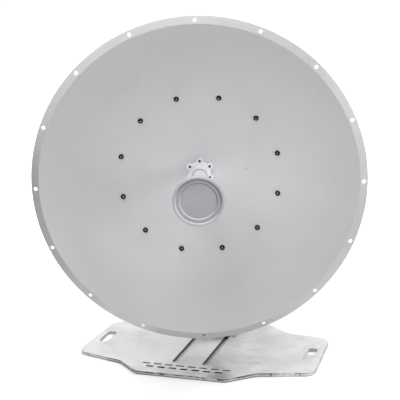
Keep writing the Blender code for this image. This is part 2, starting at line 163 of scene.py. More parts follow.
class Graph:
    """The nodes of one material, built round its Principled shader."""

    def __init__(self, name: str) -> None:
        """Start a material.

        Args:
            name: the material's name.
        """
        self.material = bpy.data.materials.new(name)
        self.material.use_nodes = True
        self.tree = self.material.node_tree
        self.shader = self.tree.nodes["Principled BSDF"]
        self.place = self.node("ShaderNodeTexCoord").outputs["Object"]

    def node(self, kind: str, settings: dict | None = None, inputs: dict | None = None) -> Node:
        """Add a node.

        Args:
            kind: the node's type.
            settings: its own settings, set before its inputs.
            inputs: a value, socket or Signal for each socket, by name or number.

        Returns:
            The node.
        """
        made = self.tree.nodes.new(kind)
        for key, value in (settings or {}).items():
            setattr(made, key, value)
        for key, value in (inputs or {}).items():
            self.feed(made.inputs[key], value)
        return made

    def feed(self, socket: Socket, value: object) -> None:
        """Link a socket, or set its value.

        Args:
            socket: an input socket.
            value: a number, colour, socket or Signal.
        """
        if isinstance(value, Signal):
            value = value.socket
        if isinstance(value, Socket):
            self.tree.links.new(value, socket)
        else:
            socket.default_value = value

    def stretched(self, scale: Corner, turn: float = 0.0) -> Socket:
        """Object coordinates, turned about Z and then scaled."""
        spun = self.node("ShaderNodeMapping", None, {"Vector": self.place, "Rotation": (0, 0, turn)})
        return self.node("ShaderNodeMapping", None, {"Vector": spun.outputs[0], "Scale": scale}).outputs[0]

    def axes(self, vector: Socket | None = None) -> tuple[Signal, Signal, Signal]:
        """The x, y and z of a vector, or of Object coordinates."""
        made = self.node("ShaderNodeSeparateXYZ", None, {0: vector or self.place})
        return tuple(Signal(self, made.outputs[k]) for k in range(3))

    def gauge(self, operation: str, other: Vector) -> Signal:
        """The DISTANCE from a spot, or the DOT_PRODUCT with a direction."""
        made = self.node("ShaderNodeVectorMath", {"operation": operation}, {0: self.place, 1: other})
        return Signal(self, made.outputs["Value"])

    def grain(
        self, size: float, detail: float, rough: float = 0.5, vector: Socket | None = None
    ) -> Signal:
        """Noise from 0 to 1.

        Args:
            size: the width of one grain in metres, or in the vector's own units.
            detail: octaves of finer noise.
            rough: how strong the finer octaves are.
            vector: coordinates other than Object coordinates.

        Returns:
            The noise.
        """
        inputs = {"Vector": vector or self.place, "Scale": 1 / size, "Detail": detail, "Roughness": rough}
        return Signal(self, self.node("ShaderNodeTexNoise", None, inputs).outputs["Fac"])

    def blend(self, amount: Signal | float, first: Colour | Socket, second: Colour | Socket) -> Socket:
        """A colour between two colours.

        Args:
            amount: 0 for the first, 1 for the second.
            first: a colour or a colour socket.
            second: a colour or a colour socket.

        Returns:
            The mixed colour's socket.
        """
        made = self.node("ShaderNodeMix", {"data_type": "RGBA"})
        ports = [port for port in made.inputs if port.enabled]
        for port, value in zip(ports, (amount, first, second)):
            self.feed(port, (*value, 1.0) if isinstance(value, tuple) else value)
        return next(port for port in made.outputs if port.enabled)

    def relief(self, height: Signal, depth: float, below: Node | None = None) -> Node:
        """A Bump node.

        Args:
            height: relief from 0 to 1.
            depth: the relief's depth in metres.
            below: an earlier Bump node that this one adds to.

        Returns:
            The Bump node.
        """
        made = self.node("ShaderNodeBump", None, {"Strength": 1.0, "Distance": depth, "Height": height})
        if below:
            self.feed(made.inputs["Normal"], below.outputs[0])
        return made

    def finish(self, **inputs: object) -> Material:
        """Set the shader's sockets.

        Args:
            inputs: the shader's sockets by name, with _ for a space.

        Returns:
            The finished material.
        """
        for key, value in inputs.items():
            if isinstance(value, Node):
                value = value.outputs[0]
            self.feed(self.shader.inputs[key.replace("_", " ")], value)
        return self.material


def toned(colour: Colour, level: float, lift: float = 0.0) -> Colour:
    """A darker or paler tone of a colour."""
    return tuple(part * level + lift for part in colour)


@dataclass(frozen=True)
class Finish:
    """A surface finish that is made into a material once, when it is first used."""

    name: str
    slot: str

    def material(self) -> Material:
        """The finish's material."""
        return bpy.data.materials.get(self.name) or self.paint(Graph(self.name))

    def paint(self, graph: Graph) -> Material:
        """Build the material's nodes."""
        raise NotImplementedError


@dataclass(frozen=True)
class DishCoat(Finish):
    """Matt light grey powder coat on thin spun sheet.

    shading_field is how much painted shade darkens the coat: at the middle, then per metre sideways, upward
    and per square metre outward. Each shading patch is x, z, radius and amount of painted shade from the
    dish's middle, painted light where the amount is below 0; each dent is place, radius and strength.
    """

    unshaded: Colour = (0.617, 0.619, 0.633)
    shaded: Colour = (0.501, 0.502, 0.513)
    shading_field: tuple[float, float, float, float] = (0.075, -0.47, 0.215, 3.80)
    shading_patches: tuple[tuple[float, float, float, float], ...] = ()
    dents: tuple[tuple[Vector, float, float], ...] = ()

    def paint(self, graph: Graph) -> Material:
        """Orange peel, a faint ripple, a patchy film, and painted shade and light from a smooth field and
        round spots.

        Args:
            graph: the material's nodes, which are only its shader so far.

        Returns:
            The finished material.
        """
        peel = graph.grain(0.0016, 2.0)
        waves = graph.grain(0.22, 1.0)
        film = graph.grain(0.060, 4.0, 0.6)
        specks = graph.grain(0.0022, 1.0).rise(0.74, 0.80)
        dull = (film.rise(0.35, 0.75) * 0.5 + waves.rise(0.3, 0.8) * 0.5).smaller(1.0)
        across, _, up = graph.axes()
        across, up = across - DISH_CENTRE.x, up - DISH_CENTRE.z
        level, sideways, upward, outward = self.shading_field
        # Painted shade and painted light: a smooth field across the dish and round spots darken or pale the
        # coat.
        shaded = across * sideways + up * upward + (across * across + up * up) * outward + level
        for x, z, radius, amount in self.shading_patches:
            away = ((across - x) ** 2.0 + (up - z) ** 2.0) / radius**2
            shaded = shaded + away.rise(1.0, 0.0) * amount
        dark = toned(self.shaded, 0.78)
        base = graph.blend(shaded, self.unshaded, self.shaded)
        base = graph.blend(dull * 0.16, base, dark)
        base = graph.blend(specks * 0.35, base, dark)
        height = graph.relief(peel, 0.000045, graph.relief(waves, 0.0010))
        for place, radius, strength in self.dents:
            spot = graph.gauge("DISTANCE", place).rise(radius, radius * 0.3)
            base = graph.blend(spot * strength, base, dark)
            height = graph.relief(1.0 - spot, 0.0006, height)
        return graph.finish(Base_Color=base, Roughness=0.46 + film * 0.10, Normal=height, Coat_Weight=0.06)


@dataclass(frozen=True)
class Moulded(Finish):
    """Moulded plastic with a fine spark-eroded texture."""

    colour: Colour
    roughness: float = 0.42
    grain: float = 0.0009

    def paint(self, graph: Graph) -> Material:
        """A fine even grain with a slight cloudiness and a few scuffs.

        Args:
            graph: the material's nodes, which are only its shader so far.

        Returns:
            The finished material.
        """
        fine = graph.grain(self.grain, 2.0)
        cloud = graph.grain(0.045, 3.0).rise(0.3, 0.7)
        scuff = graph.grain(0.5, 5.0, 0.7, graph.stretched((90, 900, 300), 0.5)).rise(0.66, 0.80)
        base = graph.blend(cloud, self.colour, toned(self.colour, 1.05, 0.006))
        return graph.finish(
            Base_Color=graph.blend(scuff * 0.18, base, toned(self.colour, 0.8)),
            Roughness=self.roughness + fine * 0.08 + scuff * 0.12,
            Normal=graph.relief(fine, 0.00003),
        )


@dataclass(frozen=True)
class PaintedLightLedge(Finish):
    """Dark plastic in a recess, painted paler towards the lower left as painted light where its walls
    face up.

    shadow_ring is the pair of radii between which the upper side gets darker as painted shadow, by the
    shade's amount.
    """

    colour: Colour = (0.13, 0.13, 0.14)
    dust_and_painted_light: Colour = (0.72, 0.72, 0.745)
    shade: float = 0.0
    reach: float = 0.062
    shadow_ring: tuple[float, float] = (0.0615, 0.0676)

    def paint(self, graph: Graph) -> Material:
        """Painted light that grows towards the lower left of the recess, and painted shadow on its
        upper side.

        Args:
            graph: the material's nodes, which are only its shader so far.

        Returns:
            The finished material.
        """
        across, _, up = graph.axes()
        lean = ((DISH_CENTRE.x - across) * 0.42 + (DISH_CENTRE.z - up) * 0.91) / self.reach
        # painted light: paler towards the lower left, where the walls face up
        painted_light_mask = (lean + (graph.grain(0.012, 3.0) - 0.5) * 0.25).rise(-0.75, 0.85)
        base = graph.blend(painted_light_mask, self.colour, self.dust_and_painted_light)
        if self.shade:
            # painted shadow on the upper side, just inside the outer step
            outward = (across - DISH_CENTRE.x) ** 2.0 + (up - DISH_CENTRE.z) ** 2.0
            painted_shadow = outward.rise(*(radius**2 for radius in self.shadow_ring)) * lean.rise(0.1, -0.8)
            base = graph.blend(painted_shadow * self.shade, base, toned(self.colour, 0.30))
        height = graph.relief(graph.grain(0.0009, 2.0), 0.00003)
        return graph.finish(Base_Color=base, Roughness=0.36 + painted_light_mask * 0.2, Normal=height)


@dataclass(frozen=True)
class BareSteel(Finish):
    """Hot-rolled steel plate, blasted and handled.

    Each smudge is place, radius and strength, dark above 0 and pale below it; the pale ones are painted
    light. Each band of painted shade beside a slit starts at slit_edge_shade_start along the plate and is
    densest at its first x, fading towards its second.
    """

    smudges_and_painted_shading: tuple[tuple[Vector, float, float], ...]
    slit_edge_shade: tuple[tuple[float, float], ...]
    slit_edge_shade_start: float
    colour: Colour = (0.76, 0.76, 0.752)

    def paint(self, graph: Graph) -> Material:
        """Smudged mill surface with rolling streaks, hand marks, small pits, listed marks, and painted
        light and shade.

        Args:
            graph: the material's nodes, which are only its shader so far.

        Returns:
            The finished material.
        """
        cloud = graph.grain(0.115, 5.0, 0.62)
        smear = graph.grain(0.5, 5.0, 0.66, graph.stretched((9, 22, 9), -PLATE_YAW))
        roll = graph.grain(0.5, 3.0, 0.6, graph.stretched((260, 14, 60), -PLATE_YAW))
        mottle = graph.grain(0.014, 4.0, 0.6)
        pits = graph.grain(0.0030, 2.0).rise(0.70, 0.78)
        shade = (cloud.rise(0.46, 0.72) * 0.5 + smear.rise(0.50, 0.80) * 0.5).smaller(1.0)
        base = graph.blend(shade, self.colour, (0.52, 0.515, 0.52))
        base = graph.blend(mottle.rise(0.35, 0.75) * 0.25, base, (0.80, 0.80, 0.79))
        base = graph.blend(roll.rise(0.52, 0.75) * 0.12, base, (0.46, 0.46, 0.46))
        base = graph.blend(pits * 0.4, base, (0.30, 0.29, 0.28))
        for spot, radius, strength in self.smudges_and_painted_shading:
            ragged = graph.gauge("DISTANCE", spot) + (smear - 0.5) * radius
            # dark films are stains or painted shadow, pale ones are painted light
            film = (0.20, 0.19, 0.20) if strength > 0 else (0.97, 0.965, 0.955)
            base = graph.blend(ragged.rise(radius, radius * 0.2) * abs(strength), base, film)
        middle = TO_PLATE.translation
        axes = (TO_PLATE.col[k].xyz for k in range(2))
        across, inward = (graph.gauge("DOT_PRODUCT", axis) - axis.dot(middle) for axis in axes)
        drift = across + (mottle - 0.5) * 0.004
        begun = inward.rise(self.slit_edge_shade_start - 0.004, self.slit_edge_shade_start)
        # painted shade beside each slit, darkening the plate at the slit's edge
        for near, far in self.slit_edge_shade:
            veil = drift.rise(near - 0.001, near) * drift.rise(far, near) * begun
            base = graph.blend(veil * 0.62, base, (0.20, 0.195, 0.195))
        height = graph.relief(roll, 0.00004, graph.relief(mottle, 0.00010))
        return graph.finish(
            Base_Color=base,
            Metallic=0.16 + shade * 0.18,
            Roughness=0.50 - shade * 0.06 + mottle * 0.12,
            Normal=graph.relief(1.0 - pits, 0.00025, height),
        )


@dataclass(frozen=True)
class FlameCut(Finish):
    """The face that a plasma torch leaves: upright drag lines, scale and dross, with scale and painted
    shade under the top arris.
    """

    colour: Colour = (0.60, 0.595, 0.585)
    marks: float = 1.0
    scale: Colour = (0.050, 0.048, 0.048)

    def paint(self, graph: Graph) -> Material:
        """Drag lines along Z, with scale and painted shade under the top arris and dross along the
        bottom one.

        Args:
            graph: the material's nodes, which are only its shader so far.

        Returns:
            The finished material.
        """
        drag = graph.grain(0.5, 3.0, 0.65, graph.stretched((420, 420, 30)))
        patch = graph.grain(0.030, 4.0, 0.65)
        speck = graph.grain(0.0046, 3.0, 0.6).rise(0.60, 0.68)
        level = graph.axes()[2] * (1 / PLATE_THICKNESS) + (drag - 0.5) * 0.10
        # a dark band under the top arris: scale, and painted shade where the arris shades the edge
        under_arris = (level + patch * 0.9).rise(1.06, 1.16) * level.rise(0.98, 0.92)
        dross = level.rise(0.28, 0.16) * (patch * 0.5 + 0.70)
        lines = (under_arris * patch.rise(0.30, 0.55) + dross).smaller(1.0)
        blot = graph.grain(0.020, 3.0).rise(0.59, 0.66) * (level + patch * 0.5).rise(0.55, 0.75)
        base = graph.blend(drag.rise(0.35, 0.70) * 0.5, self.colour, (0.42, 0.415, 0.41))
        base = graph.blend(patch.rise(0.54, 0.72) * 0.55, base, (0.27, 0.265, 0.265))
        base = graph.blend(lines * self.marks, base, self.scale)
        base = graph.blend(blot * 0.85 * self.marks, base, self.scale)
        base = graph.blend(speck * 0.8 * self.marks, base, (0.05, 0.048, 0.048))
        return graph.finish(
            Base_Color=base,
            Metallic=0.20,
            Roughness=0.55 + patch * 0.15,
            Normal=graph.relief(1.0 - speck, 0.0004, graph.relief(drag, 0.00030)),
        )


@dataclass(frozen=True)
class Galvanised(Finish):
    """Hot-dip zinc with spangle."""

    colour: Colour = (0.56, 0.575, 0.585)
    spangle: float = 0.011

    def paint(self, graph: Graph) -> Material:
        """Zinc crystals of slightly different greys, with white bloom in the dull ones.

        Args:
            graph: the material's nodes, which are only its shader so far.

        Returns:
            The finished material.
        """
        inputs = {"Vector": graph.place, "Scale": 1 / self.spangle}
        crystal = graph.node("ShaderNodeTexVoronoi", {"feature": "F1"}, inputs)
        tone = graph.axes(crystal.outputs["Color"])[0]
        fine = graph.grain(0.0035, 4.0, 0.65)
        bloom = graph.grain(0.040, 4.0, 0.6).rise(0.52, 0.78)
        base = graph.blend(tone, toned(self.colour, 0.80), self.colour)
        base = graph.blend(fine.rise(0.4, 0.7) * 0.35, base, toned(self.colour, 0.9))
        return graph.finish(
            Base_Color=graph.blend(bloom * 0.45, base, (0.72, 0.73, 0.74)),
            Metallic=0.82 - bloom * 0.35,
            Roughness=0.36 + tone * 0.12 + bloom * 0.18,
            Normal=graph.relief(fine, 0.00006),
        )


@dataclass(frozen=True)
class PaintedSteel(Finish):
    """Black powder coat over heavy plate."""

    colour: Colour = (0.018, 0.018, 0.020)

    def paint(self, graph: Graph) -> Material:
        """Leathery powder texture, with dust that has settled on it.

        Args:
            graph: the material's nodes, which are only its shader so far.

        Returns:
            The finished material.
        """
        dust_and_painted_light = graph.grain(0.055, 5.0, 0.65)
        chips = graph.grain(0.0042, 2.0).rise(0.75, 0.80)
        base = graph.blend(dust_and_painted_light.rise(0.48, 0.80) * 0.30, self.colour, (0.12, 0.118, 0.112))
        return graph.finish(
            Base_Color=graph.blend(chips * 0.6, base, (0.26, 0.25, 0.24)),
            Roughness=0.40 + dust_and_painted_light * 0.22,
            Normal=graph.relief(graph.grain(0.0018, 2.0), 0.00006),
        )


@dataclass(frozen=True)
class TurnedMetal(Finish):
    """Plated or plain fastener metal, threaded along Y between two depths if they are given."""

    colour: Colour = (0.52, 0.53, 0.55)
    roughness: float = 0.30
    thread: tuple[float, float] | None = None
    pitch: float = 0.0015

    def paint(self, graph: Graph) -> Material:
        """Fine handling marks and stain, with a rolled thread where one is asked for.

        Args:
            graph: the material's nodes, which are only its shader so far.

        Returns:
            The finished material.
        """
        mark = graph.grain(0.0050, 4.0, 0.65)
        stain = graph.grain(0.016, 3.0).rise(0.5, 0.8)
        base = graph.blend(mark.rise(0.4, 0.75) * 0.5, self.colour, toned(self.colour, 0.74))
        base = graph.blend(stain * 0.3, base, toned(self.colour, 0.62, 0.02))
        height = graph.relief(mark, 0.00003)
        if self.thread:
            start, end = self.thread
            along = graph.axes()[1]
            inside = along.rise(start, start + self.pitch) * along.rise(end, end - self.pitch)
            crest = ((along * (2 * math.pi / self.pitch)).sine() * 0.5 + 0.5) * inside
            base = graph.blend((inside - crest) * 0.55, base, toned(self.colour, 0.4))
            height = graph.relief(crest, 0.0007, height)
        roughness = self.roughness + mark * 0.12 + stain * 0.10
        return graph.finish(Base_Color=base, Metallic=0.92, Roughness=roughness, Normal=height)


@dataclass(frozen=True)
class SandCast(Finish):
    """Cast aluminium as it leaves the die, with a faint pebble, or, with no metal, painted shade in the
    slits and painted light on a hand slot wall.
    """

    colour: Colour = (0.58, 0.59, 0.60)
    metal: float = 0.75

    def paint(self, graph: Graph) -> Material:
        """Pebbled skin with flow marks.

        Args:
            graph: the material's nodes, which are only its shader so far.

        Returns:
            The finished material.
        """
        flow = graph.grain(0.018, 4.0, 0.6)
        return graph.finish(
            Base_Color=graph.blend(flow.rise(0.35, 0.75), self.colour, toned(self.colour, 0.80)),
            Metallic=self.metal,
            Roughness=0.44 + flow * 0.14,
            Normal=graph.relief(graph.grain(0.0016, 3.0), 0.00010),
        )


@dataclass(frozen=True)
class WeldMetal(Finish):
    """A laid weld bead with blue and straw heat colour."""

    def paint(self, graph: Graph) -> Material:
        """Oxide colours over dark bead metal.

        Args:
            graph: the material's nodes, which are only its shader so far.

        Returns:
            The finished material.
        """
        heat = graph.grain(0.009, 3.0)
        base = graph.blend(heat.rise(0.35, 0.65), (0.22, 0.21, 0.21), (0.12, 0.13, 0.17))
        return graph.finish(
            Base_Color=graph.blend(heat.rise(0.60, 0.80) * 0.6, base, (0.36, 0.27, 0.15)),
            Metallic=0.80,
            Roughness=0.38 + heat * 0.15,
            Normal=graph.relief(graph.grain(0.0020, 2.0), 0.00015),
        )


# The bowl's coat carries painted shade and painted light in its field and patches; the two dents are marks
# in the sheet.
COAT = DishCoat(
    "dish_coat",
    "reflector_coat",
    shading_patches=(
        (-0.175, -0.100, 0.17, 0.26),
        (0.015, 0.120, 0.20, -0.16),
        (0.105, -0.230, 0.15, 0.20),
        (-0.060, 0.440, 0.24, 0.16),
        (-0.270, 0.370, 0.14, 0.30),
        (-0.080, -0.380, 0.24, -0.14),
    ),
    dents=(
        (TO_DISH @ Vector((-0.2632, -0.0161, -0.1134)), 0.006, 0.25),
        (TO_DISH @ Vector((0.1508, 0.0093, -0.1437)), 0.0085, 0.42),
    ),
)
# The lip's coat is painted paler at the top and darker at the bottom as painted light from above, and its
# spots add painted shade at the left and bottom and painted light elsewhere round the lip.
LIP_COAT = DishCoat(
    "dish_lip_coat",
    "reflector_coat",
    unshaded=(0.604, 0.603, 0.617),
    shaded=(0.382, 0.381, 0.390),
    shading_field=(0.475, 0.0, -0.71, 0.0),
    shading_patches=(
        (-0.504, -0.060, 0.27, 0.62),
        (0.0, -0.512, 0.22, 0.52),
        (-0.286, -0.424, 0.13, -0.42),
        (-0.362, 0.362, 0.20, -0.24),
        (0.495, 0.130, 0.26, -0.34),
        (0.310, -0.400, 0.26, -0.16),
        (0.0, 0.512, 0.30, 0.08),
    ),
)
CAP_GREY = Moulded("cap_grey", "feed_plastic", (0.365, 0.368, 0.395))
CAP_RIM = Moulded("cap_rim_grey", "feed_plastic", (0.43, 0.43, 0.455), 0.44)
# The cap's steps and ledge are painted paler at the lower left as painted light and darker at the top as
# painted shadow.
CAP_STEP = PaintedLightLedge("cap_step_painted_light", "feed_plastic")
CAP_LEDGE = PaintedLightLedge(
    "cap_ledge_painted_light_and_shadow", "feed_plastic", colour=(0.345, 0.348, 0.373), dust_and_painted_light=(0.375, 0.377, 0.403), shade=0.5
)
HUB_WHITE = Moulded("hub_white", "hub_plastic", (0.80, 0.80, 0.85), 0.34)
# painted shadow for the groove under the tube's sleeve
GROOVE_PAINTED_SHADE = Moulded("groove_painted_shade", "hub_plastic", (0.26, 0.26, 0.27), 0.55)
SOFT_BLACK = Moulded("soft_black", "dark_plastic", (0.022, 0.022, 0.024), 0.48, 0.0012)
# Marks on the floor plate: x, y, radius and strength. Dark ones are stains, but the two beside the right
# upright, at y 0.058 and 0.093, are painted shadow; pale ones, below 0, are painted light where the dish
# shades the plate.
SMUDGES_AND_PAINTED_SHADING = (
    (0.088, -0.112, 0.034, 0.20),
    (0.112, -0.145, 0.034, 0.38),
    (0.136, -0.200, 0.040, 0.36),
    (0.080, 0.058, 0.022, 0.16),
    (0.080, 0.093, 0.014, 0.85),
    (0.130, -0.035, 0.120, -1.0),
    (0.240, -0.030, 0.080, -0.25),
    (0.015, -0.010, 0.100, -0.45),
    (0.410, 0.050, 0.080, 0.12),
    (-0.210, -0.100, 0.120, 0.09),
    (-0.050, -0.208, 0.055, 0.16),
    (0.035, -0.208, 0.055, 0.26),
    (0.120, -0.200, 0.055, 0.42),
    (0.260, 0.105, 0.100, 0.14),
    (0.240, -0.115, 0.045, -0.50),
    (0.165, -0.198, 0.040, 0.34),
    (-0.160, -0.200, 0.055, 0.16),
    (-0.375, 0.055, 0.060, 0.14),
)
PLATE_STEEL = BareSteel(
    "plate_steel_face",
    "plate_steel",
    smudges_and_painted_shading=tuple((TO_PLATE @ Vector((x, y, PLATE_THICKNESS)), *rest) for x, y, *rest in SMUDGES_AND_PAINTED_SHADING),
    # bands of painted shade beside the two slits
    slit_edge_shade=((-0.0478, -0.0405), (0.0632, 0.0705)),
    slit_edge_shade_start=-0.129,
)
CUT_EDGE = FlameCut("plate_steel_cut", "plate_steel")
END_EDGE = FlameCut("plate_steel_end_edge", "plate_steel", (0.82, 0.815, 0.805), 0.55)
CUT_WALL = FlameCut("plate_steel_slot_wall", "plate_steel", (0.62, 0.615, 0.605), 0.30)
# painted shade: the walls inside the slits and the scored dashes are painted near black
SLIT_WALL_PAINTED_SHADE = FlameCut("plate_steel_slit_painted_shade", "plate_steel", (0.19, 0.187, 0.185), 0.30)
# painted light: a near white wall for the lit inner wall of the right hand slot
SLOT_WALL_PAINTED_LIGHT = SandCast("slot_wall_painted_light", "plate_steel", (0.95, 0.945, 0.93), 0.0)
# painted shade for the floor seen through the slits
SLIT_FLOOR_PAINTED_SHADE = SandCast("slit_floor_painted_shade", "plate_steel", (0.58, 0.575, 0.57), 0.0)
CAST = SandCast("cast_saddle", "cast_aluminium")
ZINC = Galvanised("hot_dip_zinc", "galvanised")
BLACK_COAT = PaintedSteel("black_powder_coat", "black_coat")
PLATED = TurnedMetal("zinc_plated", "bolt_steel")
ROD_PLATED = TurnedMetal("zinc_plated_rod", "bolt_steel", thread=(-0.0735, -0.018))
BLACKENED = TurnedMetal("black_oxide", "bolt_steel", (0.022, 0.022, 0.024), 0.15)
# painted highlight for the floor of the ring bolts' sockets
SOCKET_PAINTED_HIGHLIGHT = TurnedMetal("socket_floor_painted_highlight", "bolt_steel", (0.86, 0.86, 0.88), 0.45)
BRASS = TurnedMetal("plated_brass", "connector_brass", (0.72, 0.58, 0.30), 0.26)
WELD = WeldMetal("weld_bead", "plate_steel")


def slot_hole(x: float, y: float, half_x: float, half_y: float, radius: float) -> Outline:
    """A rectangle with rounded corners."""
    spots = ((-half_x, -half_y), (half_x, -half_y), (half_x, half_y), (-half_x, half_y))
    return tuple((x + u, y + v, radius) for u, v in spots)


def round_hole(radius: float) -> Outline:
    """A circle about the origin, as a square whose rounded corners meet."""
    return slot_hole(0, 0, radius, radius, radius * 0.9995)


def turned(degrees: float, axis: str = "Z") -> Matrix:
    """A turn about an axis through the origin."""
    return Matrix.Rotation(math.radians(degrees), 4, axis)


def shifted(x: float = 0.0, y: float = 0.0, z: float = 0.0) -> Matrix:
    """A move."""
    return Matrix.Translation((x, y, z))


def around(count: int, start: float, seat: Matrix) -> list[Matrix]:
    """The seat's place, repeated evenly about Z from a starting angle in degrees."""
    return [turned(start + 360 / count * k) @ seat for k in range(count)]


class Shape:
    """A mesh under construction."""

    def __init__(self) -> None:
        """Start with nothing."""
        self.mesh = bmesh.new()

    @classmethod
    def sheet(
        cls, outline: Outline, thick: float, holes: Iterable[Outline] = (), steps: int = 8
    ) -> "Shape":
        """Cut a flat sheet out of the XY plane and give it a thickness towards +Z.

        Args:
            outline: the corners in order, each with its rounding radius.
            thick: the sheet's thickness.
            holes: outlines of openings.
            steps: segments in each rounded corner.

        Returns:
            The closed shape.
        """
        shape = cls()
        for loop in (outline, *holes):
            shape._loop(loop, steps)
        mesh = shape.mesh
        bmesh.ops.delete(mesh, geom=mesh.faces[:], context="FACES_ONLY")
        bmesh.ops.remove_doubles(mesh, verts=mesh.verts[:], dist=1e-6)
        bmesh.ops.triangle_fill(mesh, use_beauty=True, edges=mesh.edges[:], normal=(0, 0, 1))
        return shape.thicken(thick)

    def _loop(self, outline: Outline, steps: int) -> None:
        """Draw one outline and round its corners, those with the same reach together.

        Args:
            outline: the corners in order, each with its rounding radius.
            steps: segments in each rounded corner.
        """
        corners = [self.mesh.verts.new((x, y, 0)) for x, y, _ in outline]
        self.mesh.faces.new(corners)
        cuts: dict[float, list] = {}
        for k, (x, y, radius) in enumerate(outline):
            if radius > 0:
                here = Vector((x, y))
                before = Vector(outline[k - 1][:2]) - here
                after = Vector(outline[(k + 1) % len(outline)][:2]) - here
                reach = round(radius / math.tan(before.angle(after) / 2), 7)
                cuts.setdefault(reach, []).append(corners[k])
        for reach, spots in cuts.items():
            self._bevel(spots, reach, steps, affect="VERTICES", clamp_overlap=False)

    def _bevel(self, geom: list, width: float, segments: int, **settings: bool | str) -> None:
        """Round corners or edges by a width.

        Args:
            geom: the corners or edges.
            width: the rounding's width.
            segments: its segments.
            settings: the operator's other settings.
        """
        bmesh.ops.bevel(
            self.mesh,
            geom=geom,
            offset=width,
            offset_type="OFFSET",
            segments=segments,
            profile=0.5,
            material=-1,
            **settings,
        )

    def thicken(self, thick: float) -> "Shape":
        """Extrude the flat faces towards +Z into a closed shape."""
        made = bmesh.ops.extrude_face_region(self.mesh, geom=self.mesh.faces[:])
        return self.slide(made, z=thick).close()

    def slide(self, made: dict, y: float = 0.0, z: float = 0.0) -> "Shape":
        """Move the points that an extrusion has just made.

        Args:
            made: what the extrusion gave back.
            y: how far along Y.
            z: how far along Z.

        Returns:
            The shape.
        """
        moved = [item for item in made["geom"] if isinstance(item, bmesh.types.BMVert)]
        bmesh.ops.translate(self.mesh, verts=moved, vec=(0, y, z))
        return self

    def close(self) -> "Shape":
        """Fill any open rims and turn every face outward.

        Returns:
            The shape.
        """
        rims = [line for line in self.mesh.edges if line.is_boundary]
        if rims:
            bmesh.ops.edgeloop_fill(self.mesh, edges=rims)
        bmesh.ops.recalc_face_normals(self.mesh, faces=self.mesh.faces[:])
        return self

    @classmethod
    def lathe(cls, profile: Profile, steps: int = 96, closed: bool = False) -> "Shape":
        """Spin a profile about the Z axis.

        Args:
            profile: (radius, z) points in order.
            steps: segments in the full turn.
            closed: join the last point to the first, for a ring. An open profile is capped.

        Returns:
            The closed shape.
        """
        shape = cls()
        mesh = shape.mesh
        spots = [mesh.verts.new((radius, 0, z)) for radius, z in profile]
        lines = [mesh.edges.new(pair) for pair in zip(spots, spots[1:])]
        if closed:
            lines.append(mesh.edges.new((spots[-1], spots[0])))
        shape.spin(spots + lines, 2 * math.pi, steps, use_merge=True)
        bmesh.ops.remove_doubles(mesh, verts=mesh.verts[:], dist=1e-7)
        return shape.close()

    def spin(self, geom: list, angle: float, steps: int, **settings: bool) -> dict:
        """Sweep points and edges about the Z axis."""
        about = {"cent": (0, 0, 0), "axis": (0, 0, 1), **settings}
        return bmesh.ops.spin(self.mesh, geom=geom, angle=angle, steps=steps, **about)

    @classmethod
    def rod(cls, radius: float, low: float, high: float, steps: int = 28) -> "Shape":
        """A plain round bar along Z."""
        return cls.lathe(((0.0, low), (radius, low), (radius, high), (0.0, high)), steps)

    @classmethod
    def tube(cls, bore: float, outer: float, low: float, high: float, steps: int = 40) -> "Shape":
        """A plain tube along Z."""
        return cls.lathe(((bore, low), (outer, low), (outer, high), (bore, high)), steps, closed=True)

    def place(self, matrix: Matrix) -> "Shape":
        """Move and turn the shape.

        Args:
            matrix: the move and turn, which may mirror.

        Returns:
            The shape.
        """
        bmesh.ops.transform(self.mesh, matrix=matrix, verts=self.mesh.verts[:])
        if matrix.determinant() < 0:
            bmesh.ops.reverse_faces(self.mesh, faces=self.mesh.faces[:])
        return self

    def soften(self, width: float, segments: int = 2, angle: float = 32.0) -> "Shape":
        """Round the shape's sharp edges.

        Args:
            width: the rounding's width.
            segments: its segments.
            angle: edges sharper than this, in degrees, are rounded.

        Returns:
            The shape.
        """
        limit = math.radians(angle)
        sharp = [line for line in self.mesh.edges if line.is_manifold and line.calc_face_angle() > limit]
        self._bevel(sharp, width, segments, affect="EDGES", clamp_overlap=True, loop_slide=True)
        return self

    def join(self, other: "Shape", matrix: Matrix = Matrix()) -> "Shape":
        """Add a copy of another shape, placed by the matrix.

        Args:
            other: the shape to add.
            matrix: where its copy goes.

        Returns:
            This shape.
        """
        data = bpy.data.meshes.new("copy")
        other.mesh.to_mesh(data)
        data.transform(matrix)
        self.mesh.from_mesh(data)
        bpy.data.meshes.remove(data)
        return self

    def repeated(self, places: Iterable[Matrix]) -> "Shape":
        """A new shape with one copy of this one at each place.

        Args:
            places: where each copy goes.

        Returns:
            The new shape.
        """
        many = Shape()
        for place in places:
            many.join(self, place)
        return many

    def carve(self, tool: "Shape", operation: str = "DIFFERENCE") -> "Shape":
        """Cut another shape out of this one, or keep what both share.

        Args:
            tool: the cutting shape.
            operation: DIFFERENCE or INTERSECT.

        Returns:
            The carved shape.
        """
        blank, cutter = self.as_object("blank"), tool.as_object("cutter")
        step = blank.modifiers.new("carve", "BOOLEAN")
        step.operation = operation
        step.solver = "EXACT"
        step.object = cutter
        graph = bpy.context.evaluated_depsgraph_get()
        data = bpy.data.meshes.new_from_object(blank.evaluated_get(graph))
        self.mesh.clear()
        self.mesh.from_mesh(data)
        for used in (data, blank.data, cutter.data):
            bpy.data.meshes.remove(used)
        return self

    def as_object(self, name: str) -> bpy.types.Object:
        """An object of this shape in the scene.

        Args:
            name: the object's name.

        Returns:
            The object.
        """
        data = bpy.data.meshes.new(name)
        self.mesh.to_mesh(data)
        made = bpy.data.objects.new(name, data)
        bpy.context.scene.collection.objects.link(made)
        return made

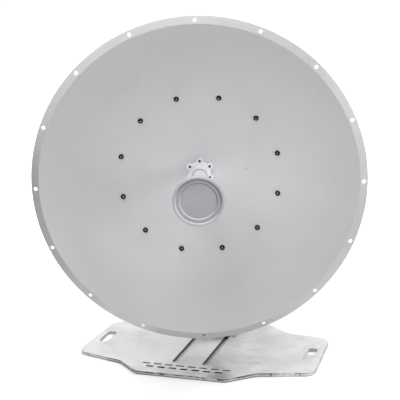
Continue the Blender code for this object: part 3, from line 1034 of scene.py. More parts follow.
    def tint(self, index: int, test: Callable[[Face], bool]) -> "Shape":
        """Give the faces that pass a test another of the piece's materials.

        Args:
            index: the material's index.
            test: tells whether a face takes it.

        Returns:
            The shape.
        """
        for face in self.mesh.faces:
            if test(face):
                face.material_index = index
        return self

    def piece(
        self, name: str, body: Body, *finishes: Finish, stands_for: str = "", crease: float = 34.0
    ) -> bpy.types.Object:
        """Turn the shape into a finished piece of the antenna.

        Args:
            name: the piece's name.
            body: the rigid body that it rides on.
            finishes: one finish for each material index.
            stands_for: the frame's node that it replaces, if any.
            crease: edges sharper than this, in degrees, stay sharp in the shading.

        Returns:
            The piece.
        """
        made = self.as_object(name)
        data = made.data
        self.mesh.free()
        data.shade_smooth()
        data.set_sharp_from_angle(angle=math.radians(crease))
        for finish in finishes:
            data.materials.append(finish.material())
        if stands_for:
            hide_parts(stands_for)
        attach(made, body.value)
        LOG.info("%s: %d faces on %s", name, len(data.polygons), body.value)
        return made


@dataclass(frozen=True)
class Fastener:
    """Bolt heads, nuts and washers of one thread size, seated on z = 0."""

    thread: float
    across: float
    height: float

    @staticmethod
    def _six(reach: float) -> Outline:
        """The six corners of a hexagon."""
        turns = [k * math.pi / 3 for k in range(6)]
        return tuple((reach * math.cos(turn), reach * math.sin(turn), 0.0) for turn in turns)

    def hexagon(self, height: float = 0.0) -> Shape:
        """A hexagon head or nut with rounded arrises.

        Args:
            height: its height, where that isn't the thread size's own.

        Returns:
            The head.
        """
        top, wide = height or self.height, self.across * 0.70
        narrow = (self.across * 0.470, top + 0.0002)
        cone = Shape.lathe(((wide, -0.001), (wide, top - self.across * 0.115), narrow), 32)
        body = Shape.sheet(self._six(self.across / math.sqrt(3)), top)
        return body.carve(cone, "INTERSECT").soften(0.0003, 2, 25)

    def washer(self, outer: float, thick: float) -> Shape:
        """A flat washer."""
        return Shape.tube(self.thread / 2 + 0.0003, outer, 0.0, thick).soften(0.0003)

    def on_washer(self, outer: float, thick: float) -> Shape:
        """A hexagon head or nut on a washer."""
        return self.washer(outer, thick).join(self.hexagon(), shifted(z=thick))

    def shank(self, low: float, high: float) -> Shape:
        """The round shank or thread end, with a small chamfer on top.

        Args:
            low: its lower end.
            high: its upper end.

        Returns:
            The shank.
        """
        radius, bevel = self.thread / 2, 0.0008
        profile = ((0.0, low), (radius, low), (radius, high - bevel), (radius - bevel, high), (0.0, high))
        return Shape.lathe(profile, 24)

    def nut(self, outer: float, thick: float, thread_end: float) -> Shape:
        """A nut on a washer, with the thread's end standing out of it."""
        return self.on_washer(outer, thick).join(self.shank(thick + self.height * 0.6, thread_end))

    def button(self, head: float) -> Shape:
        """A domed head with a hexagon socket.

        Args:
            head: the head's radius.

        Returns:
            The head.
        """
        flat, edge = head * 0.42, self.height * 0.16
        dome = [(0.0, 0.0), (head, 0.0), (head, edge)]
        for k in range(1, 9):
            turn = math.pi / 2 * k / 9
            dome.append((flat + head * 0.58 * math.cos(turn), edge + self.height * 0.84 * math.sin(turn)))
        dome += [(flat, self.height), (0.0, self.height)]
        socket = Shape.sheet(self._six(self.thread * 0.34), self.height)
        return Shape.lathe(dome, 40).carve(socket.place(shifted(z=self.height * 0.42)))


M8 = Fastener(0.008, 0.013, 0.0062)
M8_FLUSH = Fastener(0.008, 0.013, 0.0009)
M8_WASHER = (0.0082, 0.0014)
M10 = Fastener(0.010, 0.017, 0.0058)
M10_NUT = Fastener(0.010, 0.016, 0.0080)
M12 = Fastener(0.012, 0.018, 0.0075)
HUB_SCREW = Fastener(0.0045, 0.007, 0.0024)


@dataclass
class Reflector:
    """The spun sheet, its lip holes and the ring of bolts through it."""

    four_f: float = 1.54
    vertex: float = -0.1585
    sheet: float = 0.002
    opening: float = 0.030
    flat: float = 0.055
    crease: float = 0.500
    rim: float = 0.525
    rim_z: float = -0.0045
    hole_circle: float = 0.512
    hole: float = 0.0062
    holes: int = 16
    bolt_circle: float = 0.2594
    bolts: int = 12

    def surface(self, radius: float) -> float:
        """Height of the bowl's front at a radius."""
        return self.vertex + max(radius, self.flat) ** 2 / self.four_f

    def front(self) -> list[tuple[float, float]]:
        """The front of the sheet from the opening to the rim.

        Returns:
            (radius, z) points in order.
        """
        span = self.crease - 0.004 - self.flat
        radii = [self.flat + span * k / 40 for k in range(41)]
        radii.append(self.crease - 0.0012)
        points = [(self.opening, self.surface(0)), (self.flat - 0.006, self.surface(0))]
        points += [(radius, self.surface(radius)) for radius in radii]
        edge = self.surface(self.crease)
        fall = (self.rim_z - edge) / (self.rim - self.crease)
        points.append((self.crease - 0.0005, self.surface(self.crease - 0.0005) - 0.0001))
        points.append((self.crease + 0.0005, edge + fall * 0.0005 - 0.0001))
        for reach in (0.0012, 0.004, 0.0085, 0.012, 0.0155, 0.020, 0.0235):
            points.append((self.crease + reach, edge + fall * reach))
        return [*points, (self.rim - 0.0004, self.rim_z), (self.rim, self.rim_z - 0.0005)]

    def build_sheet(self) -> None:
        """The bowl, with its lip holes cut."""
        front = self.front()
        back = [(radius, z - self.sheet) for radius, z in reversed(front[:-1])]
        profile = [*front, (self.rim, self.rim_z - self.sheet + 0.0005), *back]
        bowl = Shape.lathe(profile, 240, closed=True)
        pin = Shape.rod(self.hole, -0.02, 0.02)
        bowl.carve(pin.repeated(around(self.holes, 90, shifted(self.hole_circle))))
        bowl.tint(1, lambda face: face.calc_center_median().xy.length > self.crease + 0.001)
        bowl.place(TO_DISH).piece("reflector_sheet", Body.DISH, COAT, LIP_COAT, stands_for="reflector")

    def bolt_places(self, drop: float = 0.0) -> list[Matrix]:
        """Where each ring bolt sits, square to the bowl.

        Args:
            drop: how far behind the bowl's front.

        Returns:
            The places.
        """
        radius = self.bolt_circle
        slope = math.degrees(math.atan(2 * radius / self.four_f))
        seat = shifted(radius, 0, self.surface(radius)) @ turned(-slope, "Y") @ shifted(z=drop)
        return around(self.bolts, 15, seat)

    def build_bolts(self) -> None:
        """Button heads in front and flange nuts behind the ring."""
        head = M10.button(0.0086)
        # painted highlight: the floor of each socket is made pale metal
        head.tint(1, lambda face: face.normal.z > 0.5 and face.calc_center_median().z < 0.003)
        heads = head.repeated(self.bolt_places())
        heads.place(TO_DISH).piece("ring_bolt_heads", Body.DISH, BLACKENED, SOCKET_PAINTED_HIGHLIGHT)
        behind = [place @ turned(180, "X") for place in self.bolt_places(-self.sheet - 0.0036)]
        nuts = M10_NUT.nut(0.0105, 0.0016, 0.0150).repeated(behind)
        nuts.place(TO_DISH).piece("ring_nuts", Body.DISH, PLATED)

    def build(self) -> None:
        """Build the whole reflector."""
        self.build_sheet()
        self.build_bolts()


@dataclass
class Feed:
    """The centre feed: lobed hub, tube, stepped cap and the housing behind the bowl.

    Each step of the cap is its outer radius, its inner radius and its depth. The shade band is the pair of
    heights between which the tube's groove is painted dark grey as painted shadow.
    """

    reflector: Reflector
    hub_front: float = -0.1470
    hub_core: float = 0.0355
    lobes: int = 6
    lobe_circle: float = 0.0369
    lobe: float = 0.0112
    tube: float = 0.0230
    collar: float = 0.0262
    sleeve: float = 0.0244
    sleeve_end: float = -0.099
    shade_band: tuple[float, float] = (-0.0991, -0.0944)
    cap: float = 0.0774
    cap_front: float = 0.1725
    cap_depth: float = 0.024
    outer_step: Corner = (0.0708, 0.0676, 0.0046)
    inner_step: Corner = (0.0572, 0.0546, 0.0036)
    housing: float = 0.036
    housing_back: float = -0.214
    connector_offset: float = 0.016

    def build_hub(self) -> None:
        """A white lobed flange, one screw boss in each lobe, and a collar round the tube."""
        seat = self.reflector.surface(0) + GAP
        thick = self.hub_front - seat
        core, collar, lobe, bore = self.hub_core, self.collar, self.lobe, self.tube + 0.0004
        profile = [(bore, 0.0), (core, 0.0), (core, thick * 0.55), (core - 0.003, thick * 0.8)]
        profile += [(collar + 0.0035, thick), (collar + 0.0030, thick + 0.0010), (bore, thick + 0.0010)]
        hub = Shape.lathe(profile, closed=True).soften(0.0006, 3)
        profile = [(0.0, 0.0), (lobe, 0.0), (lobe - 0.0004, thick * 0.80), (lobe - 0.0022, thick * 0.95)]
        profile += [(lobe - 0.0030, thick * 0.95), (lobe - 0.0032, thick * 0.86), (0.0, thick * 0.86)]
        boss = Shape.lathe(profile, 40).soften(0.0004)
        lobes = around(self.lobes, 90, shifted(self.lobe_circle))
        hub.join(boss.repeated(lobes)).place(TO_DISH @ shifted(z=seat))
        hub.piece("feed_hub", Body.DISH, HUB_WHITE, stands_for="feed_flange")
        screws = HUB_SCREW.button(0.0039).repeated([place @ shifted(z=thick * 0.86) for place in lobes])
        screws.place(TO_DISH @ shifted(z=seat)).piece("hub_screws", Body.DISH, BLACKENED)

    def build_tube(self) -> None:
        """The tube, with a collar where it leaves the hub and another under the cap."""
        low = self.reflector.surface(0) - self.reflector.sheet - GAP
        high = self.cap_front - self.cap_depth - GAP
        start, end = self.hub_front + 0.0012, self.sleeve_end
        tube, collar, sleeve = self.tube, self.collar, self.sleeve
        bore, groove, body = tube - 0.0022, tube - 0.0002, tube - 0.0006
        profile = [(bore, low), (tube, low), (tube, start), (collar, start), (collar, start + 0.0045)]
        profile += [(sleeve, start + 0.0075), (sleeve, end), (groove, end + 0.0004), (groove, end + 0.0045)]
        profile += [(body, end + 0.0049), (body, high - 0.012), (collar + 0.0012, high - 0.0085)]
        profile += [(collar + 0.0012, high), (bore, high)]
        shell = Shape.lathe(profile, closed=True).soften(0.0005, 3, 25)
        # painted shadow: the groove under the sleeve's end is painted dark grey
        shell.tint(1, lambda face: self.shade_band[0] < face.calc_center_median().z <= self.shade_band[1])
        shell.place(TO_DISH)
        shell.piece("feed_tube_sleeve", Body.DISH, HUB_WHITE, GROOVE_PAINTED_SHADE, stands_for="feed_tube")

    def build_cap(self) -> None:
        """A round cap whose face steps inward twice."""
        cap, face = self.cap, self.cap_front
        back, first = face - self.cap_depth, face - self.outer_step[2]
        second = first - self.inner_step[2]
        profile = [(0.0, back), (cap * 0.55, back), (cap - 0.0065, back + 0.0035), (cap, back + 0.0080)]
        profile += [(cap, face - 0.0014), (cap - 0.0012, face), (self.outer_step[0], face)]
        profile += [(self.outer_step[1], first), (self.inner_step[0], first)]
        profile += [(self.inner_step[1], second), (0.0, second)]
        shell = Shape.lathe(profile, 160).soften(0.0005, 3, 18).tint(1, self._on_rim)
        shell.tint(2, self._on_step).tint(3, self._on_ledge).place(TO_DISH)
        finishes = (CAP_GREY, CAP_RIM, CAP_STEP, CAP_LEDGE)
        shell.piece("feed_cap_shell", Body.DISH, *finishes, stands_for="feed_cap")

    def _on_rim(self, face: Face) -> bool:
        """Whether a face is on the flat rim round the cap's steps."""
        return face.normal.z > 0.9 and face.calc_center_median().xy.length > self.outer_step[0]

    def _on_ledge(self, face: Face) -> bool:
        """Whether a face is on the flat ledge between the cap's two steps."""
        radius = face.calc_center_median().xy.length
        return face.normal.z > 0.9 and self.inner_step[0] < radius < self.outer_step[1]

    def _on_step(self, face: Face) -> bool:
        """Whether a face lies on one of the cap's two sloping steps.

        Args:
            face: a face of the cap.

        Returns:
            Whether it is on a step.
        """
        radius = face.calc_center_median().xy.length
        steps = (self.outer_step, self.inner_step)
        return any(inner - 0.0003 < radius < outer + 0.0002 for outer, inner, _ in steps)

    def build_housing(self) -> None:
        """The ribbed rear housing behind the bowl."""
        front = self.reflector.surface(0) - self.reflector.sheet - 2 * GAP
        full, body, back = self.housing, self.housing - 0.0020, self.housing_back
        profile = [(0.0, front), (full, front), (full, front - 0.006), (body, front - 0.0075)]
        for k in range(5):
            z = front - 0.020 - 0.0062 * k
            profile += [(body, z), (full, z - 0.0010), (full, z - 0.0030), (body, z - 0.0040)]
        profile += [(body, back + 0.004), (body - 0.003, back), (0.0, back)]
        housing = Shape.lathe(profile, 72).soften(0.0004, 2, 28).place(TO_DISH)
        housing.piece("feed_housing", Body.DISH, SOFT_BLACK, stands_for="feed_rear_housing")

    def build_connectors(self) -> None:
        """Two threaded connectors on the housing's back."""
        end = self.housing_back - GAP
        barrel = [(0.0, end), (0.0084, end), (0.0084, end - 0.0040), (0.0058, end - 0.0040)]
        for k in range(8):
            z = end - 0.0046 - 0.0011 * k
            barrel += [(0.0060, z), (0.0056, z - 0.00055)]
        barrel += [(0.0056, end - 0.0137), (0.0046, end - 0.0137), (0.0046, end - 0.0060)]
        barrel += [(0.0012, end - 0.0060), (0.0012, end - 0.0120), (0.0, end - 0.0120)]
        for number, side in enumerate(Side, 1):
            plug = Shape.lathe(barrel, 36).place(TO_DISH @ shifted(self.connector_offset * side.value))
            plug.piece(f"connector_{number}", Body.DISH, BRASS, stands_for=f"rf_connector_{number}")

    def build(self) -> None:
        """Build the whole feed."""
        self.build_hub()
        self.build_tube()
        self.build_cap()
        self.build_housing()
        self.build_connectors()


@dataclass
class BackFrame:
    """The seat ring, six stepped arms and the hub plate behind the reflector."""

    reflector: Reflector
    seat_radii: tuple[float, float] = (0.235, 0.285)
    sheet: float = 0.003
    ring_back: float = -0.146
    flange_edge: float = 0.212
    arms: int = 6
    arm_width: float = 0.034
    arm_sheet: float = 0.005
    flush_screws: float = 0.078
    plate_bolts: float = 0.101
    ring_bolts: tuple[float, float] = (0.2225, 0.0095)
    plate_front: float = -0.185
    plate_sheet: float = 0.006
    plate_edge: float = 0.120
    plate_bore: float = 0.040

    def build_ring(self) -> None:
        """A rolled Z-section ring, seated on the back of the bowl."""
        inner, outer = self.seat_radii
        lift = self.reflector.sheet + GAP
        wall = inner + 0.0035
        radii = [inner + (outer - inner) * k / 12 for k in range(13)]
        seat = [(radius, self.reflector.surface(radius) - lift) for radius in radii]
        under = [(radius, z - self.sheet) for radius, z in reversed(seat) if radius > wall]
        back, edge = self.ring_back, self.flange_edge
        profile = [*seat, *under, (wall, self.reflector.surface(wall) - lift - self.sheet), (wall, back)]
        profile += [(edge, back), (edge, back + self.sheet), (inner, back + self.sheet)]
        ring = Shape.lathe(profile, 200, closed=True).soften(0.0009, 3, 40)
        ring.place(TO_DISH).piece("seat_ring", Body.DISH, ZINC, stands_for="back_ring")

    def arm_places(self) -> list[Matrix]:
        """The turn of each arm about the dish's axis."""
        return around(self.arms, 30, Matrix())

    def build_arms(self) -> None:
        """Stepped flat bars."""
        thick = self.arm_sheet
        foot, pad = self.plate_front + GAP, self.ring_back - GAP
        side_view = [(0.062, foot, 0.001), (0.117, foot, 0.012), (0.206, pad - thick, 0.007)]
        side_view += [(0.236, pad - thick, 0.001), (0.236, pad, 0.001), (0.204, pad, 0.012)]
        side_view += [(0.116, foot + thick, 0.007), (0.062, foot + thick, 0.001)]
        for number, place in enumerate(self.arm_places(), 1):
            bar = Shape.sheet(side_view, self.arm_width, steps=5)
            bar.place(shifted(0, self.arm_width / 2, 0) @ ALONG_Y).soften(0.0008).place(TO_DISH @ place)
            bar.piece(f"arm_bar_{number}", Body.DISH, ZINC, stands_for=f"arm_{number}")

    def build_arm_bolts(self) -> None:
        """Two fasteners in each arm's foot and two in its pad. The inner ones are flush behind."""
        foot = self.plate_front + GAP + self.arm_sheet
        behind = self.plate_front - self.plate_sheet
        flip = turned(180, "X")
        bolt, nut = M8.on_washer(*M8_WASHER), M8.nut(*M8_WASHER, 0.0115)
        flange_nut, flush = M8.nut(*M8_WASHER, 0.0105), M8_FLUSH.button(0.0076)
        reach, offset = self.ring_bolts
        lower, upper = Shape(), Shape()
        for place in self.arm_places():
            lower.join(nut, place @ shifted(self.flush_screws, 0, foot))
            upper.join(flush, place @ shifted(self.flush_screws, 0, behind) @ flip)
            lower.join(bolt, place @ shifted(self.plate_bolts, 0, foot))
            upper.join(nut, place @ shifted(self.plate_bolts, 0, behind) @ flip)
            for y in (-offset, offset):
                lower.join(bolt, place @ shifted(reach, y, self.ring_back - GAP - self.arm_sheet) @ flip)
                upper.join(flange_nut, place @ shifted(reach, y, self.ring_back + self.sheet))
        lower.place(TO_DISH).piece("arm_bolts", Body.DISH, PLATED)
        upper.place(TO_DISH).piece("arm_nuts", Body.DISH, PLATED)

    def build_plate(self) -> None:
        """The round plate that carries the arms and the tilt brackets."""
        bore = [round_hole(self.plate_bore)]
        plate = Shape.sheet(round_hole(self.plate_edge), self.plate_sheet, bore, 32).soften(0.0008)
        plate.place(TO_DISH @ shifted(z=self.plate_front - self.plate_sheet))
        plate.piece("hub_disc", Body.DISH, ZINC, stands_for="hub_plate")

    def build(self) -> None:
        """Build the whole back frame."""
        self.build_ring()
        self.build_arms()
        self.build_arm_bolts()
        self.build_plate()


@dataclass
class TiltBracket:
    """Two L brackets with curved lock slots, and the bolts that they turn on."""

    hub_back: float = -0.1587
    sheet: float = 0.005
    inner: float = 0.066
    flange: float = 0.036
    slot_circle: float = 0.075
    slot_half: float = 0.0070
    slot_reach: float = 21.0
    hole: float = 0.0063
    bolt_inside: float = 0.055
    flange_bolts: tuple[float, float] = (0.004, 0.098)

    def cheek_outline(self) -> Outline:
        """The cheek in side view, as (y, z) corners.

        Returns:
            The corners, each with its rounding radius.
        """
        y, z, front = PIVOT.y, PIVOT.z, self.hub_back
        lower = ((front, z - 0.030, 0.0), (y, z - 0.026, 0.020), (y + 0.026, z, 0.020))
        upper = ((y + 0.046, z + 0.062, 0.014), (y + 0.030, z + 0.104, 0.014), (front, z + 0.112, 0.0))
        return lower + upper

    def slot_tools(self, span: float) -> list[Shape]:
        """The curved slot's arc and its two round ends, as cutting shapes about the pivot.

        Args:
            span: how long the cutting shapes are.

        Returns:
            The arc and the two ends.
        """
        arc, half = Shape(), self.slot_half
        spots = [arc.mesh.verts.new((self.slot_circle + u, 0, 0)) for u in (-half, half)]
        line = arc.mesh.edges.new(spots)
        start = turned(90 - self.slot_reach).to_3x3()
        bmesh.ops.rotate(arc.mesh, verts=spots, matrix=start, cent=(0, 0, 0))
        arc.spin([*spots, line], math.radians(2 * self.slot_reach), 20)
        ends = [turned(90 + side.value * self.slot_reach) @ shifted(self.slot_circle) for side in Side]
        return [arc.thicken(span), *(Shape.rod(half, 0.0, span).place(end) for end in ends)]

    def build_cheek(self, side: Side) -> None:
        """One bracket, bent outward onto the hub plate.

        Args:
            side: which of the two.
        """
        right = side is Side.RIGHT
        low = self.inner if right else -self.inner - self.sheet
        span = 0.03
        cheek = Shape.sheet(self.cheek_outline(), self.sheet).place(shifted(low) @ ALONG_X)
        seat = shifted(low - span / 3, PIVOT.y, PIVOT.z) @ ALONG_X
        for tool in (Shape.rod(self.hole, 0.0, span), *self.slot_tools(span)):
            cheek.carve(tool.place(seat))
        cheek.soften(0.0006, 2, 40)
        middle = (self.inner + self.flange / 2) * side.value
        tab = Shape.sheet(slot_hole(middle, PIVOT.z + 0.050, self.flange / 2, 0.062, 0.004), self.sheet)
        tab.place(shifted(0, self.hub_back + self.sheet, 0) @ ALONG_Y).soften(0.0006)
        word = side.word
        cheek.join(tab).piece(f"tilt_bracket_{word}", Body.DISH, ZINC, stands_for=f"tilt_cheek_{word}")

    def bolt(self) -> Shape:
        """A bolt along +Z from the inner nut to the outer head, with the spacer between the cheeks.

        Returns:
            The bolt with its nut, washers and spacer.
        """
        inside, outside = self.bolt_inside, self.inner + self.sheet
        stack = Shape()
        stack.join(M12.washer(0.0105, 0.0016), shifted(z=inside - 0.0016 - GAP))
        stack.join(M12.hexagon(), shifted(z=inside - 0.0018 - GAP) @ turned(180, "X"))
        stack.join(M12.shank(inside - 0.0115, outside + 0.004))
        stack.join(Shape.tube(0.0062, 0.0115, 0.0603, 0.0657))
        stack.join(M12.washer(0.0125, 0.0022), shifted(z=outside + GAP))
        return stack.join(M12.hexagon(0.0072), shifted(z=outside + 0.0023 + GAP))

    def build_bolts(self) -> None:
        """Pivot bolts ride on the dish, and lock bolts on the clamp channel."""
        kinds = (("pivot", 0.0, Body.DISH), ("lock", self.slot_circle, Body.AZIMUTH))
        for side in Side:
            turn = turned(90 * side.value, "Y")
            for kind, rise, body in kinds:
                bolt = self.bolt().place(shifted(PIVOT.x, PIVOT.y, PIVOT.z + rise) @ turn)
                bolt.piece(f"{kind}_set_{side.word}", body, PLATED, stands_for=f"{kind}_bolt_{side.word}")

    def build_flange_bolts(self) -> None:
        """Two bolts through each bracket's flange into the hub plate."""
        x, y = self.inner + self.flange * 0.60, self.hub_back + self.sheet
        bolts = Shape()
        for side in Side:
            for rise in self.flange_bolts:
                place = shifted(x * side.value, y, PIVOT.z + rise) @ turned(-90, "X")
                bolts.join(M8.on_washer(*M8_WASHER), place)
        bolts.piece("flange_bolts", Body.DISH, PLATED)

    def build(self) -> None:
        """Build the brackets and their bolts."""
        for side in Side:
            self.build_cheek(side)
        self.build_bolts()
        self.build_flange_bolts()


@dataclass
class PoleClamp:
    """The folded channel, its saddles and the two U-bolts round the pole."""

    bracket: TiltBracket
    web_front: float = -0.050
    sheet: float = 0.005
    outer: float = 0.060
    low: float = 0.502
    high: float = 0.722
    heights: tuple[float, float] = (0.530, 0.695)
    rod: float = 0.005
    rod_hole: float = 0.0055
    rod_tip: float = -0.072
    bend: float = 0.0440

    def leg_places(self, y: float, turn: Matrix, heights: Iterable[float]) -> list[Matrix]:
        """Where the U-bolts' legs pass, at a depth and with a turn."""
        return [shifted(side.value * self.bend, y, height) @ turn for side in Side for height in heights]

    def build_channel(self) -> None:
        """A plate folded to a channel, trimmed to its side view and drilled."""
        outer, front, ahead = self.outer, self.web_front, -0.30
        inner, back = outer - self.sheet, front + self.sheet
        fold = [(-outer, ahead, 0.0), (-inner, ahead, 0.0), (-inner, front, 0.003), (inner, front, 0.003)]
        fold += [(inner, ahead, 0.0), (outer, ahead, 0.0), (outer, back, 0.008), (-outer, back, 0.008)]
        channel = Shape.sheet(fold, 0.4, steps=6).place(shifted(z=0.4))
        y, z = PIVOT.y, PIVOT.z
        trim = [(y - 0.0395, z + 0.030, 0.012), (y - 0.0400, z - 0.040, 0.036)]
        trim += [(y + 0.010, z - 0.040, 0.030), (front - 0.012, self.low + 0.03, 0.012)]
        trim += [(front - 0.006, self.low, 0.004), (back + 0.01, self.low, 0.0)]
        trim += [(back + 0.01, self.high, 0.0), (front - 0.006, self.high, 0.004)]
        trim += [(y + 0.012, z + 0.093, 0.010), (y - 0.012, z + 0.090, 0.010)]
        trim.append((y - 0.020, z + 0.072, 0.008))
        channel.carve(Shape.sheet(trim, 0.2, steps=6).place(shifted(-0.1) @ ALONG_X), "INTERSECT")
        drill = Shape.rod(self.bracket.hole, -0.08, 0.08)
        rises = (0.0, self.bracket.slot_circle)
        channel.carve(drill.repeated([shifted(0, y, z + rise) @ ALONG_X for rise in rises]))
        leg = Shape.rod(self.rod_hole, -0.03, 0.03, 24)
        channel.carve(leg.repeated(self.leg_places(front, ALONG_Y, self.heights))).soften(0.0006, 2, 40)
        channel.piece("clamp_channel", Body.AZIMUTH, ZINC, stands_for="az_channel")

    def build_rod(self, word: str, height: float) -> None:
        """A U-bolt, swept from a round section along one leg, round the bend and back.

        Args:
            word: the U-bolt's place in its name.
            height: its height.
        """
        shape = Shape()
        mesh, tip = shape.mesh, self.rod_tip
        made = bmesh.ops.create_circle(mesh, cap_ends=False, segments=20, radius=self.rod)
        start = shifted(-self.bend, tip, height) @ turned(90, "X")
        bmesh.ops.transform(mesh, verts=made["verts"], matrix=start)
        shape.slide(bmesh.ops.extrude_edge_only(mesh, edges=mesh.edges[:]), -tip)
        ends = [line for line in mesh.edges if all(abs(spot.co.y) < 1e-6 for spot in line.verts)]
        spots = list(dict.fromkeys(spot for line in ends for spot in line.verts))
        made = shape.spin(spots + ends, -math.pi, 40)
        last = [item for item in made["geom_last"] if isinstance(item, bmesh.types.BMEdge)]
        shape.slide(bmesh.ops.extrude_edge_only(mesh, edges=last), tip)
        bmesh.ops.remove_doubles(mesh, verts=mesh.verts[:], dist=1e-6)
        shape.close().soften(0.0006, 2, 60)
        shape.piece(f"u_rod_{word}", Body.AZIMUTH, ROD_PLATED, stands_for=f"u_bolt_{word}")

    def build_saddle(self, word: str, height: float) -> None:
        """A cast saddle with a hollow for the pole and a row of grip teeth in it.

        Args:
            word: the saddle's place in its name.
            height: its height.
        """
        front = self.web_front + self.sheet + GAP
        block = [(-0.056, front, 0.001), (0.056, front, 0.001), (0.056, -0.028, 0.004)]
        block += [(0.030, -0.016, 0.003), (-0.030, -0.016, 0.003), (-0.056, -0.028, 0.004)]
        saddle = Shape.sheet(block, 0.032, steps=4).place(shifted(z=height - 0.016))
        bore = POLE + 0.0004
        drum = [(0.0, -0.03), (bore, -0.03)]
        for k in range(10):
            z = -0.0150 + 0.0030 * k
            drum += [(bore, z), (bore + 0.0010, z + 0.0010), (bore + 0.0010, z + 0.0020)]
        drum += [(bore, 0.03), (0.0, 0.03)]
        saddle.carve(Shape.lathe(drum, 72).place(shifted(z=height)))
        leg = Shape.rod(self.rod_hole, -0.03, 0.03, 24)
        saddle.carve(leg.repeated(self.leg_places(-0.03, ALONG_Y, [height]))).soften(0.0006, 2, 50)
        saddle.piece(f"saddle_{word}", Body.AZIMUTH, CAST, stands_for=f"clamp_saddle_{word}")

    def build_nuts(self) -> None:
        """Four nuts with washers on the U-bolts' legs."""
        places = self.leg_places(self.web_front, turned(90, "X"), self.heights)
        M10_NUT.on_washer(0.0098, 0.0018).repeated(places).piece("clamp_nuts", Body.AZIMUTH, PLATED)

    def build(self) -> None:
        """Build the clamp."""
        self.build_channel()
        for word, height in zip(("lower", "upper"), self.heights):
            self.build_rod(word, height)
            self.build_saddle(word, height)
        self.build_nuts()


